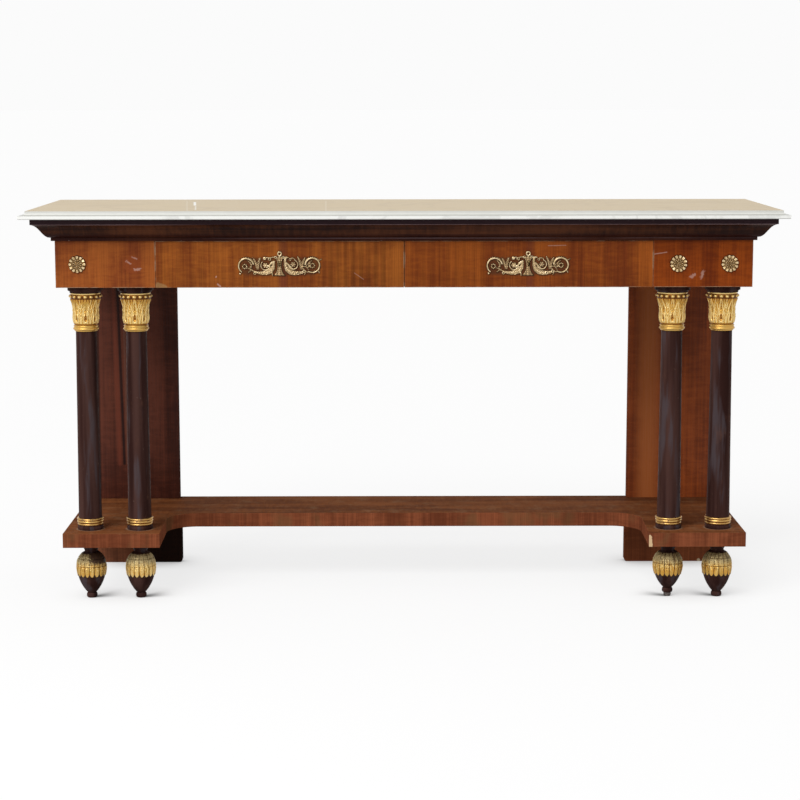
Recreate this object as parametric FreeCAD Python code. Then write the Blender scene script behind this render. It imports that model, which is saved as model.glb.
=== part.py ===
import FreeCAD, Part
import math
import os

# Pier table: marble top on a mitred cornice, a frieze with two drawers, four columns in pairs,
# two rear boards, a platform shelf and turned feet.
# Millimetres. +Z is up, the front faces -Y, and +X is the right side seen from the front.
# The origin is on the floor, under the middle of the marble top.

os.makedirs("parts", exist_ok=True)

# --- Storeys, from the floor up ---
FOOT_HEIGHT = 129.0
SHELF_THICKNESS = 33.0
COLUMN_HEIGHT = 563.0
FRIEZE_HEIGHT = 106.0
CORNICE_HEIGHT = 51.0
MARBLE_THICKNESS = 18.0

# --- Marble slab ---
MARBLE_WIDTH = 1710.0
MARBLE_DEPTH = 530.0
MARBLE_OVERHANG = 23.0
MARBLE_REAR_OVERHANG = 21.0
MARBLE_EDGE_RUN = 14.0
MARBLE_EDGE_STEP = 4.0
MARBLE_EDGE_BAND = 8.0
MARBLE_ARRIS = 1.5

# --- Cornice moulding ---
CORNICE_PROJECTION = 47.2
CORNICE_FILLET_HEIGHT = 12.7
CORNICE_LIP_HEIGHT = 7.4
CORNICE_LIP_PROJECTION = 7.4
CYMA_LOW_PULL = 0.44
CYMA_HIGH_PULL = 0.5
CYMA_HIGH_RISE = 0.9

# --- Frieze carcase ---
PIER_WIDTH = 224.4
END_BLOCK_DEPTH = 110.0
SIDE_BOARD_THICKNESS = 22.0
BACK_RAIL_THICKNESS = 20.0
TOP_RAIL_DEPTH = 60.0
BOTTOM_RAIL_DEPTH = 50.0
BOTTOM_RAIL_HEIGHT = 22.0
DIVIDER_WIDTH = 20.0
RUNNER_BEARING = 20.0
RUNNER_HEIGHT = 18.0
GUIDE_HEIGHT = 20.0
OUTER_GUIDE_WIDTH = 15.0
BATTEN_WIDTH = 25.0
CENTRE_BATTEN_WIDTH = 50.0

# --- Tenons of rails and boards ---
TENON_THICKNESS = 9.0
TENON_LENGTH = 14.0
STUB_LENGTH = 8.0
TENON_SHOULDER = 6.0
REAR_BOARD_SHOULDER = 24.0
TENON_CLEARANCE = 0.1

# --- Drawers ---
DRAWER_FRONT_THICKNESS = 20.0
DRAWER_SIDE_THICKNESS = 12.0
DRAWER_SIDE_HEIGHT = 72.0
DRAWER_BACK_THICKNESS = 12.0
DRAWER_BOTTOM_THICKNESS = 7.0
DRAWER_BOTTOM_RAISE = 8.0
DRAWER_GROOVE_DEPTH = 5.0
DRAWER_SEAM = 0.6
DRAWER_TOP_GAP = 1.0
DRAWER_RUN_GAP = 0.3
DRAWER_BACK_SPACE = 15.0
PANEL_CLEARANCE = 0.2
JOINT_COUNT = 3
JOINT_WIDTH = 10.0
DOVETAIL_FLARE = 2.0
FRONT_TENON_LENGTH = 10.0

# --- Drawer lock ---
KEYHOLE_DROP = 49.0
KEYHOLE_DIAMETER = 7.0
KEYHOLE_SLOT_WIDTH = 4.2
KEYHOLE_SLOT_DROP = 9.0
LOCK_WIDTH = 70.0
LOCK_DEPTH = 11.0
LOCK_WALL = 1.6
LOCK_BELOW_KEYHOLE = 14.0
BOLT_WIDTH = 24.0
BOLT_THICKNESS = 4.5
BOLT_THROW = 7.0
BOLT_BODY_WIDTH = 40.0
BOLT_BODY_HEIGHT = 24.0
BOLT_CLEARANCE = 0.3
KEY_POST_DIAMETER = 3.0

# --- Columns ---
COLUMN_END_INSET = 59.0
COLUMN_SPACING = 114.2
COLUMN_FRONT_INSET = 60.8
SPIGOT_DIAMETER = 25.0
SPIGOT_CLEARANCE = 0.2
SPIGOT_END_GAP = 2.0
TOP_SPIGOT_LENGTH = 34.0
SHAFT_BOTTOM_DIAMETER = 53.2
SHAFT_TOP_DIAMETER = 47.0
ABACUS_HEIGHT = 15.0
ABACUS_DIAMETER = 80.5
ABACUS_NECK_DIAMETER = 71.0
ABACUS_COVE_HEIGHT = 5.0
CAPITAL_HEIGHT = 87.5
CAPITAL_FOOT_DIAMETER = 51.0
CAPITAL_FOOT_HEIGHT = 3.0
CAPITAL_TORUS_DIAMETER = 58.6
CAPITAL_TORUS_HEIGHT = 5.0
CAPITAL_STEP_DIAMETER = 57.0
CAPITAL_STEP_HEIGHT = 5.0
CAPITAL_BELL_DIAMETER = 58.0
CAPITAL_FLARE_HEIGHT = 10.0
CAPITAL_LIP_DIAMETER = 73.6
CAPITAL_LIP_HEIGHT = 6.5
CAPITAL_FILLET_DIAMETER = 68.0
CAPITAL_FILLET_HEIGHT = 3.5
LOW_RING_HEIGHT = 5.5
LOW_RING_DIAMETER = 58.8
MAIN_RING_HEIGHT = 6.5
MAIN_RING_DIAMETER = 61.2
TOP_RING_HEIGHT = 5.0
TOP_RING_DIAMETER = 62.0
RING_BULGE = 1.8
BASE_DISC_HEIGHT = 10.5
BASE_DISC_DIAMETER = 59.6
BASE_DISC_BULGE = 0.8
BASE_DISC_NECK_DIAMETER = 56.0
BASE_DISC_NECK_HEIGHT = 2.0

# --- Shelf ---
SHELF_END_SETBACK = 2.9
SHELF_FRONT_PROJECTION = 9.5
SHELF_CENTRE_DEPTH = 212.0
SHELF_CURVE_RADIUS = 70.0
SHELF_CURVE_FLARE = 2.0

# --- Rear boards and rear foot blocks ---
REAR_BOARD_THICKNESS = 26.0
REAR_BOARD_OVERLAP = 4.9
REAR_BOARD_END_INSET = 12.8
REAR_FOOT_REVEAL = 3.6
REAR_FOOT_CORNER_RADIUS = 7.0

# --- Turned feet ---
TOE_HEIGHT = 11.5
TOE_DIAMETER = 24.8
TOE_SOLE_DIAMETER = 16.0
TOE_NECK_DIAMETER = 18.4
EGG_DIAMETER = 66.8
EGG_WIDEST_AT = 0.615
EGG_LOW_SWELL = 0.31
EGG_LOW_TURN = 0.12
EGG_LOW_FLANK = 0.49
EGG_HIGH_FLANK = 0.32
EGG_HIGH_SWELL = 0.94
EGG_HIGH_TURN = 0.66
FOOT_NECK_HEIGHT = 19.0
FOOT_NECK_DIAMETER = 29.6
FOOT_NECK_FLARE = 0.25
FOOT_CAP_HEIGHT = 8.0
FOOT_CAP_DIAMETER = 40.0
GLIDE_HEIGHT = 9.0
GLIDE_DIAMETER = 17.0
GLIDE_SOLE_DIAMETER = 8.5
GLIDE_PIN_DIAMETER = 3.0
GLIDE_PIN_LENGTH = 12.0
COLLAR_BOTTOM = 52.5
COLLAR_TOP = 107.0
COLLAR_RELIEF = 1.2
COLLAR_SEAT_DEPTH = 2.0
COLLAR_CLEARANCE = 0.2

# --- Frieze ornaments ---
ROSETTE_DIAMETER = 41.5
ROSETTE_HEIGHT = 8.0
ROSETTE_RIM_HEIGHT = 2.5
ROSETTE_RIM_SWELL = 5.0
ROSETTE_BOSS_DIAMETER = 14.0
ROSETTE_PIN_DIAMETER = 2.4
ROSETTE_PIN_LENGTH = 10.0
LEFT_OUTER_ROSETTE_SHIFT = 9.5
RIGHT_INNER_ROSETTE_SHIFT = 5.7
RIGHT_OUTER_ROSETTE_SHIFT = 7.0
PIN_CLEARANCE = 0.1
MOUNT_THICKNESS = 3.0
MOUNT_VASE_WIDTH = 26.0
MOUNT_VASE_RISE = 26.0
MOUNT_VASE_DROP = 32.0
MOUNT_FROND_REACH = 40.0
MOUNT_FROND_DIAMETER = 44.0
MOUNT_SCROLL_REACH = 77.0
MOUNT_SCROLL_DIAMETER = 33.0
MOUNT_BAND_WIDTH = 8.0

# --- Softened edges ---
EDGE_RADIUS = 0.8

# --- Levels and lines that follow from the sizes above ---
SHELF_TOP = FOOT_HEIGHT + SHELF_THICKNESS
FRIEZE_BOTTOM = SHELF_TOP + COLUMN_HEIGHT
FRIEZE_TOP = FRIEZE_BOTTOM + FRIEZE_HEIGHT
CARCASE_TOP = FRIEZE_TOP + CORNICE_HEIGHT
TABLE_TOP = CARCASE_TOP + MARBLE_THICKNESS
BOTTOM_RAIL_TOP = FRIEZE_BOTTOM + BOTTOM_RAIL_HEIGHT

MARBLE_REAR = MARBLE_DEPTH / 2
REAR = MARBLE_REAR - MARBLE_REAR_OVERHANG
FRIEZE_FRONT = MARBLE_OVERHANG + CORNICE_PROJECTION - MARBLE_DEPTH / 2
FRIEZE_END = MARBLE_WIDTH / 2 - MARBLE_OVERHANG - CORNICE_PROJECTION
PIER_INNER = FRIEZE_END - PIER_WIDTH
END_BLOCK_BACK = FRIEZE_FRONT + END_BLOCK_DEPTH
SIDE_BOARD_INNER = FRIEZE_END - SIDE_BOARD_THICKNESS
BACK_RAIL_FRONT = REAR - BACK_RAIL_THICKNESS
TOP_RAIL_BACK = FRIEZE_FRONT + TOP_RAIL_DEPTH
DRAWER_FRONT_BACK = FRIEZE_FRONT + DRAWER_FRONT_THICKNESS
BOTTOM_RAIL_FRONT = DRAWER_FRONT_BACK + DRAWER_RUN_GAP
BOTTOM_RAIL_BACK = BOTTOM_RAIL_FRONT + BOTTOM_RAIL_DEPTH
DIVIDER_BACK = min(BOTTOM_RAIL_BACK, TOP_RAIL_BACK)
DIVIDER_HALF = DIVIDER_WIDTH / 2

SHELF_END = FRIEZE_END - SHELF_END_SETBACK
SHELF_FRONT = FRIEZE_FRONT - SHELF_FRONT_PROJECTION
SHELF_CENTRE_FRONT = REAR - SHELF_CENTRE_DEPTH
COLUMN_LINE = SHELF_FRONT + COLUMN_FRONT_INSET
OUTER_AXIS = FRIEZE_END - COLUMN_END_INSET
INNER_AXIS = OUTER_AXIS - COLUMN_SPACING
REAR_BOARD_FRONT = REAR - REAR_BOARD_THICKNESS
REAR_BOARD_INNER = PIER_INNER - REAR_BOARD_OVERLAP
REAR_BOARD_OUTER = FRIEZE_END - REAR_BOARD_END_INSET

BASE_RING_HEIGHT = LOW_RING_HEIGHT + MAIN_RING_HEIGHT + TOP_RING_HEIGHT
SHAFT_BOTTOM = SHELF_TOP + BASE_DISC_HEIGHT + BASE_RING_HEIGHT
CAPITAL_BOTTOM = FRIEZE_BOTTOM - ABACUS_HEIGHT - CAPITAL_HEIGHT
SHELF_SPIGOT_LENGTH = (SHELF_THICKNESS - SPIGOT_END_GAP) / 2
SPIGOT_RADIUS = SPIGOT_DIAMETER / 2
BORE_RADIUS = SPIGOT_RADIUS + SPIGOT_CLEARANCE

DRAWER_FRONT_TOP = FRIEZE_TOP - DRAWER_TOP_GAP
DRAWER_FLOOR = BOTTOM_RAIL_TOP + DRAWER_RUN_GAP
DRAWER_SIDE_TOP = DRAWER_FLOOR + DRAWER_SIDE_HEIGHT
DRAWER_NEAR = DIVIDER_HALF + DRAWER_SEAM
DRAWER_FAR = PIER_INNER - DRAWER_SEAM
DRAWER_REAR = BACK_RAIL_FRONT - DRAWER_BACK_SPACE
DRAWER_BACK_FRONT = DRAWER_REAR - DRAWER_BACK_THICKNESS
PANEL_BOTTOM = DRAWER_FLOOR + DRAWER_BOTTOM_RAISE
PANEL_TOP = PANEL_BOTTOM + DRAWER_BOTTOM_THICKNESS
DRAWER_BACK_BOTTOM = PANEL_TOP + PANEL_CLEARANCE
DRAWER_CENTRE = (DRAWER_SEAM + DRAWER_FAR) / 2
KEYHOLE_LEVEL = FRIEZE_TOP - KEYHOLE_DROP
LOCK_FRONT = DRAWER_FRONT_BACK - LOCK_DEPTH
LOCK_BOTTOM = KEYHOLE_LEVEL - LOCK_BELOW_KEYHOLE
BOLT_BODY_TOP = DRAWER_FRONT_TOP - LOCK_WALL - BOLT_THROW - BOLT_CLEARANCE
BOLT_BACK = DRAWER_FRONT_BACK - LOCK_WALL - BOLT_CLEARANCE

SIDES = (("left", -1), ("right", 1))
COLUMNS = (
    ("left_outer", -OUTER_AXIS),
    ("left_inner", -INNER_AXIS),
    ("right_inner", INNER_AXIS),
    ("right_outer", OUTER_AXIS),
)
GLIDED_FOOT = "right_inner"
ROSETTE_PLACES = (
    -OUTER_AXIS - LEFT_OUTER_ROSETTE_SHIFT,
    INNER_AXIS + RIGHT_INNER_ROSETTE_SHIFT,
    OUTER_AXIS + RIGHT_OUTER_ROSETTE_SHIFT,
)


# --- Drawing helpers ---

def in_plan(x, y):
    return FreeCAD.Vector(x, y, 0)


def in_end_section(y, z):
    return FreeCAD.Vector(0, y, z)


def in_front_view(x, z):
    return FreeCAD.Vector(x, 0, z)


class Outline:
    """A closed outline drawn point by point; place turns two coordinates into a point in space."""

    def __init__(self, place, *start):
        self.place = place
        self.first = place(*start)
        self.last = self.first
        self.edges = []

    def line(self, *point):
        end = self.place(*point)
        self.edges.append(Part.makeLine(self.last, end))
        self.last = end

    def arc(self, middle, end):
        middle_point = self.place(*middle)
        end_point = self.place(*end)
        self.edges.append(Part.Arc(self.last, middle_point, end_point).toShape())
        self.last = end_point

    def curve(self, *poles):
        points = [self.place(*pole) for pole in poles]
        bezier = Part.BezierCurve()
        bezier.setPoles([self.last] + points)
        self.edges.append(bezier.toShape())
        self.last = points[-1]

    def face(self):
        closing = Part.makeLine(self.last, self.first)
        return Part.Face(Part.Wire(self.edges + [closing]))


def turned(outline):
    """The solid that an outline in radius and height sweeps round the Z axis."""
    shape = outline.face().revolve(FreeCAD.Vector(0, 0, 0), FreeCAD.Vector(0, 0, 1), 360)
    return positive(shape)


def pushed(outline, x=0.0, y=0.0, z=0.0):
    """The solid that an outline's face sweeps along a vector."""
    return positive(outline.face().extrude(FreeCAD.Vector(x, y, z)))


def positive(shape):
    if shape.Volume < 0:
        shape.reverse()
    return shape


def moved(shape, x=0.0, y=0.0, z=0.0):
    copy = shape.copy()
    copy.translate(FreeCAD.Vector(x, y, z))
    return copy


def box(x, y, z, grow=0.0):
    """A box between pairs of limits on X, Y and Z, grown by the same amount on every side."""
    low = FreeCAD.Vector(min(x) - grow, min(y) - grow, min(z) - grow)
    sizes = [abs(pair[1] - pair[0]) + 2 * grow for pair in (x, y, z)]
    return Part.makeBox(sizes[0], sizes[1], sizes[2], low)


def eased(shape):
    """The shape with every edge slightly rounded, as sanding and polish leave it."""
    return shape.makeFillet(EDGE_RADIUS, shape.Edges)


def rod(diameter, length, x, y, z, axis=(0, 0, 1)):
    return Part.makeCylinder(diameter / 2, length, FreeCAD.Vector(x, y, z), FreeCAD.Vector(*axis))


def mortised(shape, limits):
    """The shape with a mortise for each tenon, given by the tenon's limits."""
    for tenon in limits:
        shape = shape.cut(box(*tenon, grow=TENON_CLEARANCE))
    return shape


def tenoned(shape, limits):
    """The shape with each tenon joined to it."""
    for tenon in limits:
        shape = shape.fuse(box(*tenon))
    return shape.removeSplitter()


def across(side, inner, outer):
    """Limits on X at one side of the table, where side is -1 or +1."""
    return (side * inner, side * outer)


def centred(middle, width):
    return (middle - width / 2, middle + width / 2)


def between(start, end, share):
    return start + (end - start) * share


def export(name, *solids):
    shape = solids[0] if len(solids) == 1 else Part.makeCompound(solids)
    shape.exportStep("parts/" + name + ".step")


# --- Limits of the tenons, each shared by the two pieces that it joins ---

def top_rail_tenon(side):
    return (
        across(side, PIER_INNER, PIER_INNER + TENON_LENGTH),
        centred((FRIEZE_FRONT + TOP_RAIL_BACK) / 2, TENON_THICKNESS),
        (FRIEZE_TOP + TENON_SHOULDER, CARCASE_TOP - TENON_SHOULDER),
    )


def bottom_rail_tenon(side):
    return (
        across(side, PIER_INNER, PIER_INNER + TENON_LENGTH),
        (BOTTOM_RAIL_FRONT + TENON_SHOULDER, BOTTOM_RAIL_BACK - TENON_SHOULDER),
        centred((FRIEZE_BOTTOM + BOTTOM_RAIL_TOP) / 2, TENON_THICKNESS),
    )


def side_board_tenon(side):
    return (
        across(side, SIDE_BOARD_INNER + TENON_SHOULDER, FRIEZE_END - TENON_SHOULDER),
        (END_BLOCK_BACK - TENON_LENGTH, END_BLOCK_BACK),
        (FRIEZE_BOTTOM + TENON_SHOULDER, CARCASE_TOP - TENON_SHOULDER),
    )


def back_rail_tenon(side):
    return (
        across(side, SIDE_BOARD_INNER, SIDE_BOARD_INNER + TENON_LENGTH),
        centred((BACK_RAIL_FRONT + REAR) / 2, TENON_THICKNESS),
        (FRIEZE_BOTTOM + TENON_SHOULDER, CARCASE_TOP - TENON_SHOULDER),
    )


def divider_tenons():
    depth = (BOTTOM_RAIL_FRONT + TENON_SHOULDER, DIVIDER_BACK - TENON_SHOULDER)
    thickness = centred(0, TENON_THICKNESS)
    lower = (thickness, depth, (BOTTOM_RAIL_TOP - STUB_LENGTH, BOTTOM_RAIL_TOP))
    upper = (thickness, depth, (FRIEZE_TOP, FRIEZE_TOP + STUB_LENGTH))
    return lower, upper


def runner_bearings():
    """Limits on X of the three bearers that carry the drawer sides."""
    outer = (PIER_INNER - RUNNER_BEARING, PIER_INNER)
    centre = centred(0, DIVIDER_WIDTH + 2 * RUNNER_BEARING)
    return (-outer[1], -outer[0]), centre, outer


def runner_tenons(bearing):
    width = (bearing[0] + TENON_SHOULDER, bearing[1] - TENON_SHOULDER)
    height = centred(BOTTOM_RAIL_TOP - RUNNER_HEIGHT / 2, TENON_THICKNESS)
    front = (width, (BOTTOM_RAIL_BACK - STUB_LENGTH, BOTTOM_RAIL_BACK), height)
    back = (width, (BACK_RAIL_FRONT, BACK_RAIL_FRONT + STUB_LENGTH), height)
    return front, back


def batten_widths():
    """Limits on X of the three battens under the marble."""
    outer = (PIER_INNER - BATTEN_WIDTH, PIER_INNER)
    return (-outer[1], -outer[0]), centred(0, CENTRE_BATTEN_WIDTH), outer


def batten_tenons(width):
    middle = centred((width[0] + width[1]) / 2, TENON_THICKNESS)
    height = (FRIEZE_TOP + STUB_LENGTH + TENON_SHOULDER, CARCASE_TOP - TENON_SHOULDER)
    front = (middle, (TOP_RAIL_BACK - STUB_LENGTH, TOP_RAIL_BACK), height)
    back = (middle, (BACK_RAIL_FRONT, BACK_RAIL_FRONT + STUB_LENGTH), height)
    return front, back


def rear_board_tenon(side, low, high):
    return (
        across(side, REAR_BOARD_INNER + REAR_BOARD_SHOULDER, SIDE_BOARD_INNER - REAR_BOARD_SHOULDER),
        centred((BACK_RAIL_FRONT + REAR) / 2, TENON_THICKNESS),
        (low, high),
    )


def rear_board_top_tenon(side):
    return rear_board_tenon(side, FRIEZE_BOTTOM, FRIEZE_BOTTOM + TENON_LENGTH)


def rear_board_bottom_tenon(side):
    return rear_board_tenon(side, SHELF_TOP - TENON_LENGTH, SHELF_TOP)


def rear_foot_tenon(side):
    return rear_board_tenon(side, FOOT_HEIGHT, FOOT_HEIGHT + TENON_LENGTH)


# --- Marble and cornice ---

def marble_edge(outline, edge):
    """The moulded edge, from the slab's top down: step, cavetto, band and a small arris."""
    cavetto_top = TABLE_TOP - MARBLE_EDGE_STEP
    band_top = CARCASE_TOP + MARBLE_EDGE_BAND
    outline.line(edge(MARBLE_EDGE_RUN), cavetto_top)
    outline.curve((edge(MARBLE_EDGE_RUN), band_top), (edge(0), band_top))
    outline.line(edge(0), CARCASE_TOP + MARBLE_ARRIS)
    outline.line(edge(MARBLE_ARRIS), CARCASE_TOP)


def marble_top():
    def front_edge(inset):
        return inset - MARBLE_DEPTH / 2

    def left_edge(inset):
        return inset - MARBLE_WIDTH / 2

    across_depth = Outline(in_end_section, front_edge(MARBLE_EDGE_RUN), TABLE_TOP)
    marble_edge(across_depth, front_edge)
    across_depth.line(MARBLE_REAR, CARCASE_TOP)
    across_depth.line(MARBLE_REAR, TABLE_TOP)
    long_slab = moved(pushed(across_depth, x=MARBLE_WIDTH), x=-MARBLE_WIDTH / 2)

    across_width = Outline(in_front_view, left_edge(MARBLE_EDGE_RUN), TABLE_TOP)
    marble_edge(across_width, left_edge)
    across_width.line(0, CARCASE_TOP)
    across_width.line(0, TABLE_TOP)
    left_half = moved(pushed(across_width, y=MARBLE_DEPTH), y=-MARBLE_DEPTH / 2)
    right_half = left_half.mirror(FreeCAD.Vector(0, 0, 0), FreeCAD.Vector(1, 0, 0))
    return long_slab.common(left_half.fuse(right_half)).removeSplitter()


def cornice_outline(place):
    """Lip, cyma recta and top fillet; place takes the projection from the frieze and the height."""
    low = FRIEZE_TOP + CORNICE_LIP_HEIGHT
    high = CARCASE_TOP - CORNICE_FILLET_HEIGHT
    low_pull = between(CORNICE_LIP_PROJECTION, CORNICE_PROJECTION, CYMA_LOW_PULL)
    high_pull = between(CORNICE_LIP_PROJECTION, CORNICE_PROJECTION, CYMA_HIGH_PULL)

    outline = Outline(place, 0, FRIEZE_TOP)
    outline.line(CORNICE_LIP_PROJECTION, FRIEZE_TOP)
    outline.line(CORNICE_LIP_PROJECTION, low)
    outline.curve(
        (low_pull, low), (high_pull, between(low, high, CYMA_HIGH_RISE)), (CORNICE_PROJECTION, high)
    )
    outline.line(CORNICE_PROJECTION, CARCASE_TOP)
    outline.line(0, CARCASE_TOP)
    return outline


def mitre_prism(*corners):
    """An upright prism over plan corners, tall enough to hold the cornice."""
    outline = Outline(in_plan, *corners[0])
    for corner in corners[1:]:
        outline.line(*corner)
    return pushed(outline, z=TABLE_TOP)


def cornice_front():
    def in_front(projection, height):
        return FreeCAD.Vector(0, FRIEZE_FRONT - projection, height)

    half = FRIEZE_END + CORNICE_PROJECTION
    length = moved(pushed(cornice_outline(in_front), x=2 * half), x=-half)
    reach = FRIEZE_FRONT - CORNICE_PROJECTION
    plan = mitre_prism(
        (-FRIEZE_END, FRIEZE_FRONT), (-half, reach), (half, reach), (FRIEZE_END, FRIEZE_FRONT)
    )
    return length.common(plan)


def cornice_return(side):
    def at_end(projection, height):
        return FreeCAD.Vector(side * (FRIEZE_END + projection), REAR, height)

    half = FRIEZE_END + CORNICE_PROJECTION
    reach = FRIEZE_FRONT - CORNICE_PROJECTION
    length = pushed(cornice_outline(at_end), y=reach - REAR)
    plan = mitre_prism(
        (side * FRIEZE_END, FRIEZE_FRONT), (side * half, reach), (side * half, REAR),
        (side * FRIEZE_END, REAR),
    )
    return length.common(plan)


# --- Frieze carcase ---

def end_block(side):
    block = eased(box(
        across(side, PIER_INNER, FRIEZE_END),
        (FRIEZE_FRONT, END_BLOCK_BACK),
        (FRIEZE_BOTTOM, CARCASE_TOP),
    ))
    block = mortised(block, [top_rail_tenon(side), bottom_rail_tenon(side), side_board_tenon(side)])
    for name, axis in COLUMNS:
        if axis * side > 0:
            depth = TOP_SPIGOT_LENGTH + SPIGOT_END_GAP
            block = block.cut(rod(2 * BORE_RADIUS, depth, axis, COLUMN_LINE, FRIEZE_BOTTOM))
    for place in ROSETTE_PLACES:
        if place * side > 0:
            block = block.cut(rosette_pin(place, PIN_CLEARANCE))
    return block


def side_board(side):
    board = box(
        across(side, SIDE_BOARD_INNER, FRIEZE_END),
        (END_BLOCK_BACK, REAR),
        (FRIEZE_BOTTOM, CARCASE_TOP),
    )
    return mortised(tenoned(board, [side_board_tenon(side)]), [back_rail_tenon(side)])


def back_rail():
    rail = box(
        (-SIDE_BOARD_INNER, SIDE_BOARD_INNER), (BACK_RAIL_FRONT, REAR), (FRIEZE_BOTTOM, CARCASE_TOP)
    )
    mortises = [runner_tenons(bearing)[1] for bearing in runner_bearings()]
    mortises += [batten_tenons(width)[1] for width in batten_widths()]
    mortises += [rear_board_top_tenon(side) for name, side in SIDES]
    return mortised(tenoned(rail, [back_rail_tenon(side) for name, side in SIDES]), mortises)


def top_front_rail():
    rail = box((-PIER_INNER, PIER_INNER), (FRIEZE_FRONT, TOP_RAIL_BACK), (FRIEZE_TOP, CARCASE_TOP))
    rail = tenoned(rail, [top_rail_tenon(side) for name, side in SIDES])
    rail = mortised(rail, [divider_tenons()[1]])
    rail = mortised(rail, [batten_tenons(width)[0] for width in batten_widths()])
    for name, side in SIDES:
        rail = rail.cut(bolt_tongue(side, BOLT_THROW + DRAWER_TOP_GAP, 2 * BOLT_CLEARANCE))
    return rail


def bottom_front_rail():
    rail = box(
        (-PIER_INNER, PIER_INNER), (BOTTOM_RAIL_FRONT, BOTTOM_RAIL_BACK), (FRIEZE_BOTTOM, BOTTOM_RAIL_TOP)
    )
    rail = tenoned(rail, [bottom_rail_tenon(side) for name, side in SIDES])
    mortises = [runner_tenons(bearing)[0] for bearing in runner_bearings()]
    return mortised(rail, mortises + [divider_tenons()[0]])


def drawer_divider():
    post = box(
        (-DIVIDER_HALF, DIVIDER_HALF), (BOTTOM_RAIL_FRONT, DIVIDER_BACK), (BOTTOM_RAIL_TOP, FRIEZE_TOP)
    )
    return tenoned(post, divider_tenons())


def drawer_runners():
    """Two outer runners and a centre one, each a bearer with a guide standing on it."""
    low = BOTTOM_RAIL_TOP - RUNNER_HEIGHT
    guide_top = BOTTOM_RAIL_TOP + GUIDE_HEIGHT
    length = (BOTTOM_RAIL_BACK, BACK_RAIL_FRONT)
    runners = []
    for bearing in runner_bearings():
        runner = box(bearing, length, (low, BOTTOM_RAIL_TOP))
        runners.append(tenoned(runner, runner_tenons(bearing)))
    behind_block = (END_BLOCK_BACK, BACK_RAIL_FRONT)
    for index, side in ((0, -1), (2, 1)):
        width = across(side, PIER_INNER, PIER_INNER + OUTER_GUIDE_WIDTH)
        guide = box(width, behind_block, (low, guide_top))
        runners[index] = runners[index].fuse(guide).removeSplitter()
    centre_guide = box((-DIVIDER_HALF, DIVIDER_HALF), length, (low, guide_top))
    runners[1] = runners[1].fuse(centre_guide).removeSplitter()
    return runners


def top_battens():
    """Bearers for the marble that also keep an open drawer from tipping."""
    battens = []
    for width in batten_widths():
        batten = box(
            width, (TOP_RAIL_BACK, BACK_RAIL_FRONT), (DRAWER_SIDE_TOP + DRAWER_TOP_GAP, CARCASE_TOP)
        )
        battens.append(tenoned(batten, batten_tenons(width)))
    return battens


# --- Shelf, rear boards and rear feet ---

def platform_shelf():
    curve_start = PIER_INNER + SHELF_CURVE_FLARE
    curve_end = curve_start - SHELF_CURVE_RADIUS
    shoulder = SHELF_CENTRE_FRONT - SHELF_CURVE_RADIUS
    reach = SHELF_CURVE_RADIUS * math.sin(math.pi / 4)
    outline = Outline(in_plan, -SHELF_END, REAR)
    outline.line(-SHELF_END, SHELF_FRONT)
    outline.line(-PIER_INNER, SHELF_FRONT)
    outline.line(-curve_start, shoulder)
    outline.arc((-curve_end - reach, shoulder + reach), (-curve_end, SHELF_CENTRE_FRONT))
    outline.line(curve_end, SHELF_CENTRE_FRONT)
    outline.arc((curve_end + reach, shoulder + reach), (curve_start, shoulder))
    outline.line(PIER_INNER, SHELF_FRONT)
    outline.line(SHELF_END, SHELF_FRONT)
    outline.line(SHELF_END, REAR)
    shelf = eased(moved(pushed(outline, z=SHELF_THICKNESS), z=FOOT_HEIGHT))
    for name, axis in COLUMNS:
        shelf = shelf.cut(rod(2 * BORE_RADIUS, SHELF_THICKNESS, axis, COLUMN_LINE, FOOT_HEIGHT))
    for name, side in SIDES:
        shelf = mortised(shelf, [rear_board_bottom_tenon(side), rear_foot_tenon(side)])
    return shelf


def rear_board(side):
    board = eased(box(
        across(side, REAR_BOARD_INNER, REAR_BOARD_OUTER),
        (REAR_BOARD_FRONT, REAR),
        (SHELF_TOP, FRIEZE_BOTTOM),
    ))
    return tenoned(board, [rear_board_top_tenon(side), rear_board_bottom_tenon(side)])


def rear_foot(side):
    inner = REAR_BOARD_INNER - REAR_FOOT_REVEAL
    outer = REAR_BOARD_OUTER
    radius = REAR_FOOT_CORNER_RADIUS
    sag = radius * (1 - math.sin(math.pi / 4))
    outline = Outline(in_front_view, inner, FOOT_HEIGHT)
    outline.line(inner, radius)
    outline.arc((inner + sag, sag), (inner + radius, 0))
    outline.line(outer - radius, 0)
    outline.arc((outer - sag, sag), (outer, radius))
    outline.line(outer, FOOT_HEIGHT)
    block = moved(pushed(outline, y=REAR_BOARD_THICKNESS), y=REAR_BOARD_FRONT)
    if side < 0:
        block = block.mirror(FreeCAD.Vector(0, 0, 0), FreeCAD.Vector(1, 0, 0))
    return tenoned(block, [rear_foot_tenon(side)])


# --- Column pieces, turned about the Z axis and then moved to their places ---

def column_shaft():
    foot = SHAFT_BOTTOM_DIAMETER / 2
    head = SHAFT_TOP_DIAMETER / 2
    outline = Outline(in_front_view, 0, SHELF_TOP - SHELF_SPIGOT_LENGTH)
    outline.line(SPIGOT_RADIUS, SHELF_TOP - SHELF_SPIGOT_LENGTH)
    outline.line(SPIGOT_RADIUS, SHAFT_BOTTOM)
    outline.line(foot, SHAFT_BOTTOM)
    outline.line(head, CAPITAL_BOTTOM)
    outline.line(SPIGOT_RADIUS, CAPITAL_BOTTOM)
    outline.line(SPIGOT_RADIUS, FRIEZE_BOTTOM + TOP_SPIGOT_LENGTH)
    outline.line(0, FRIEZE_BOTTOM + TOP_SPIGOT_LENGTH)
    return turned(outline)


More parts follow.
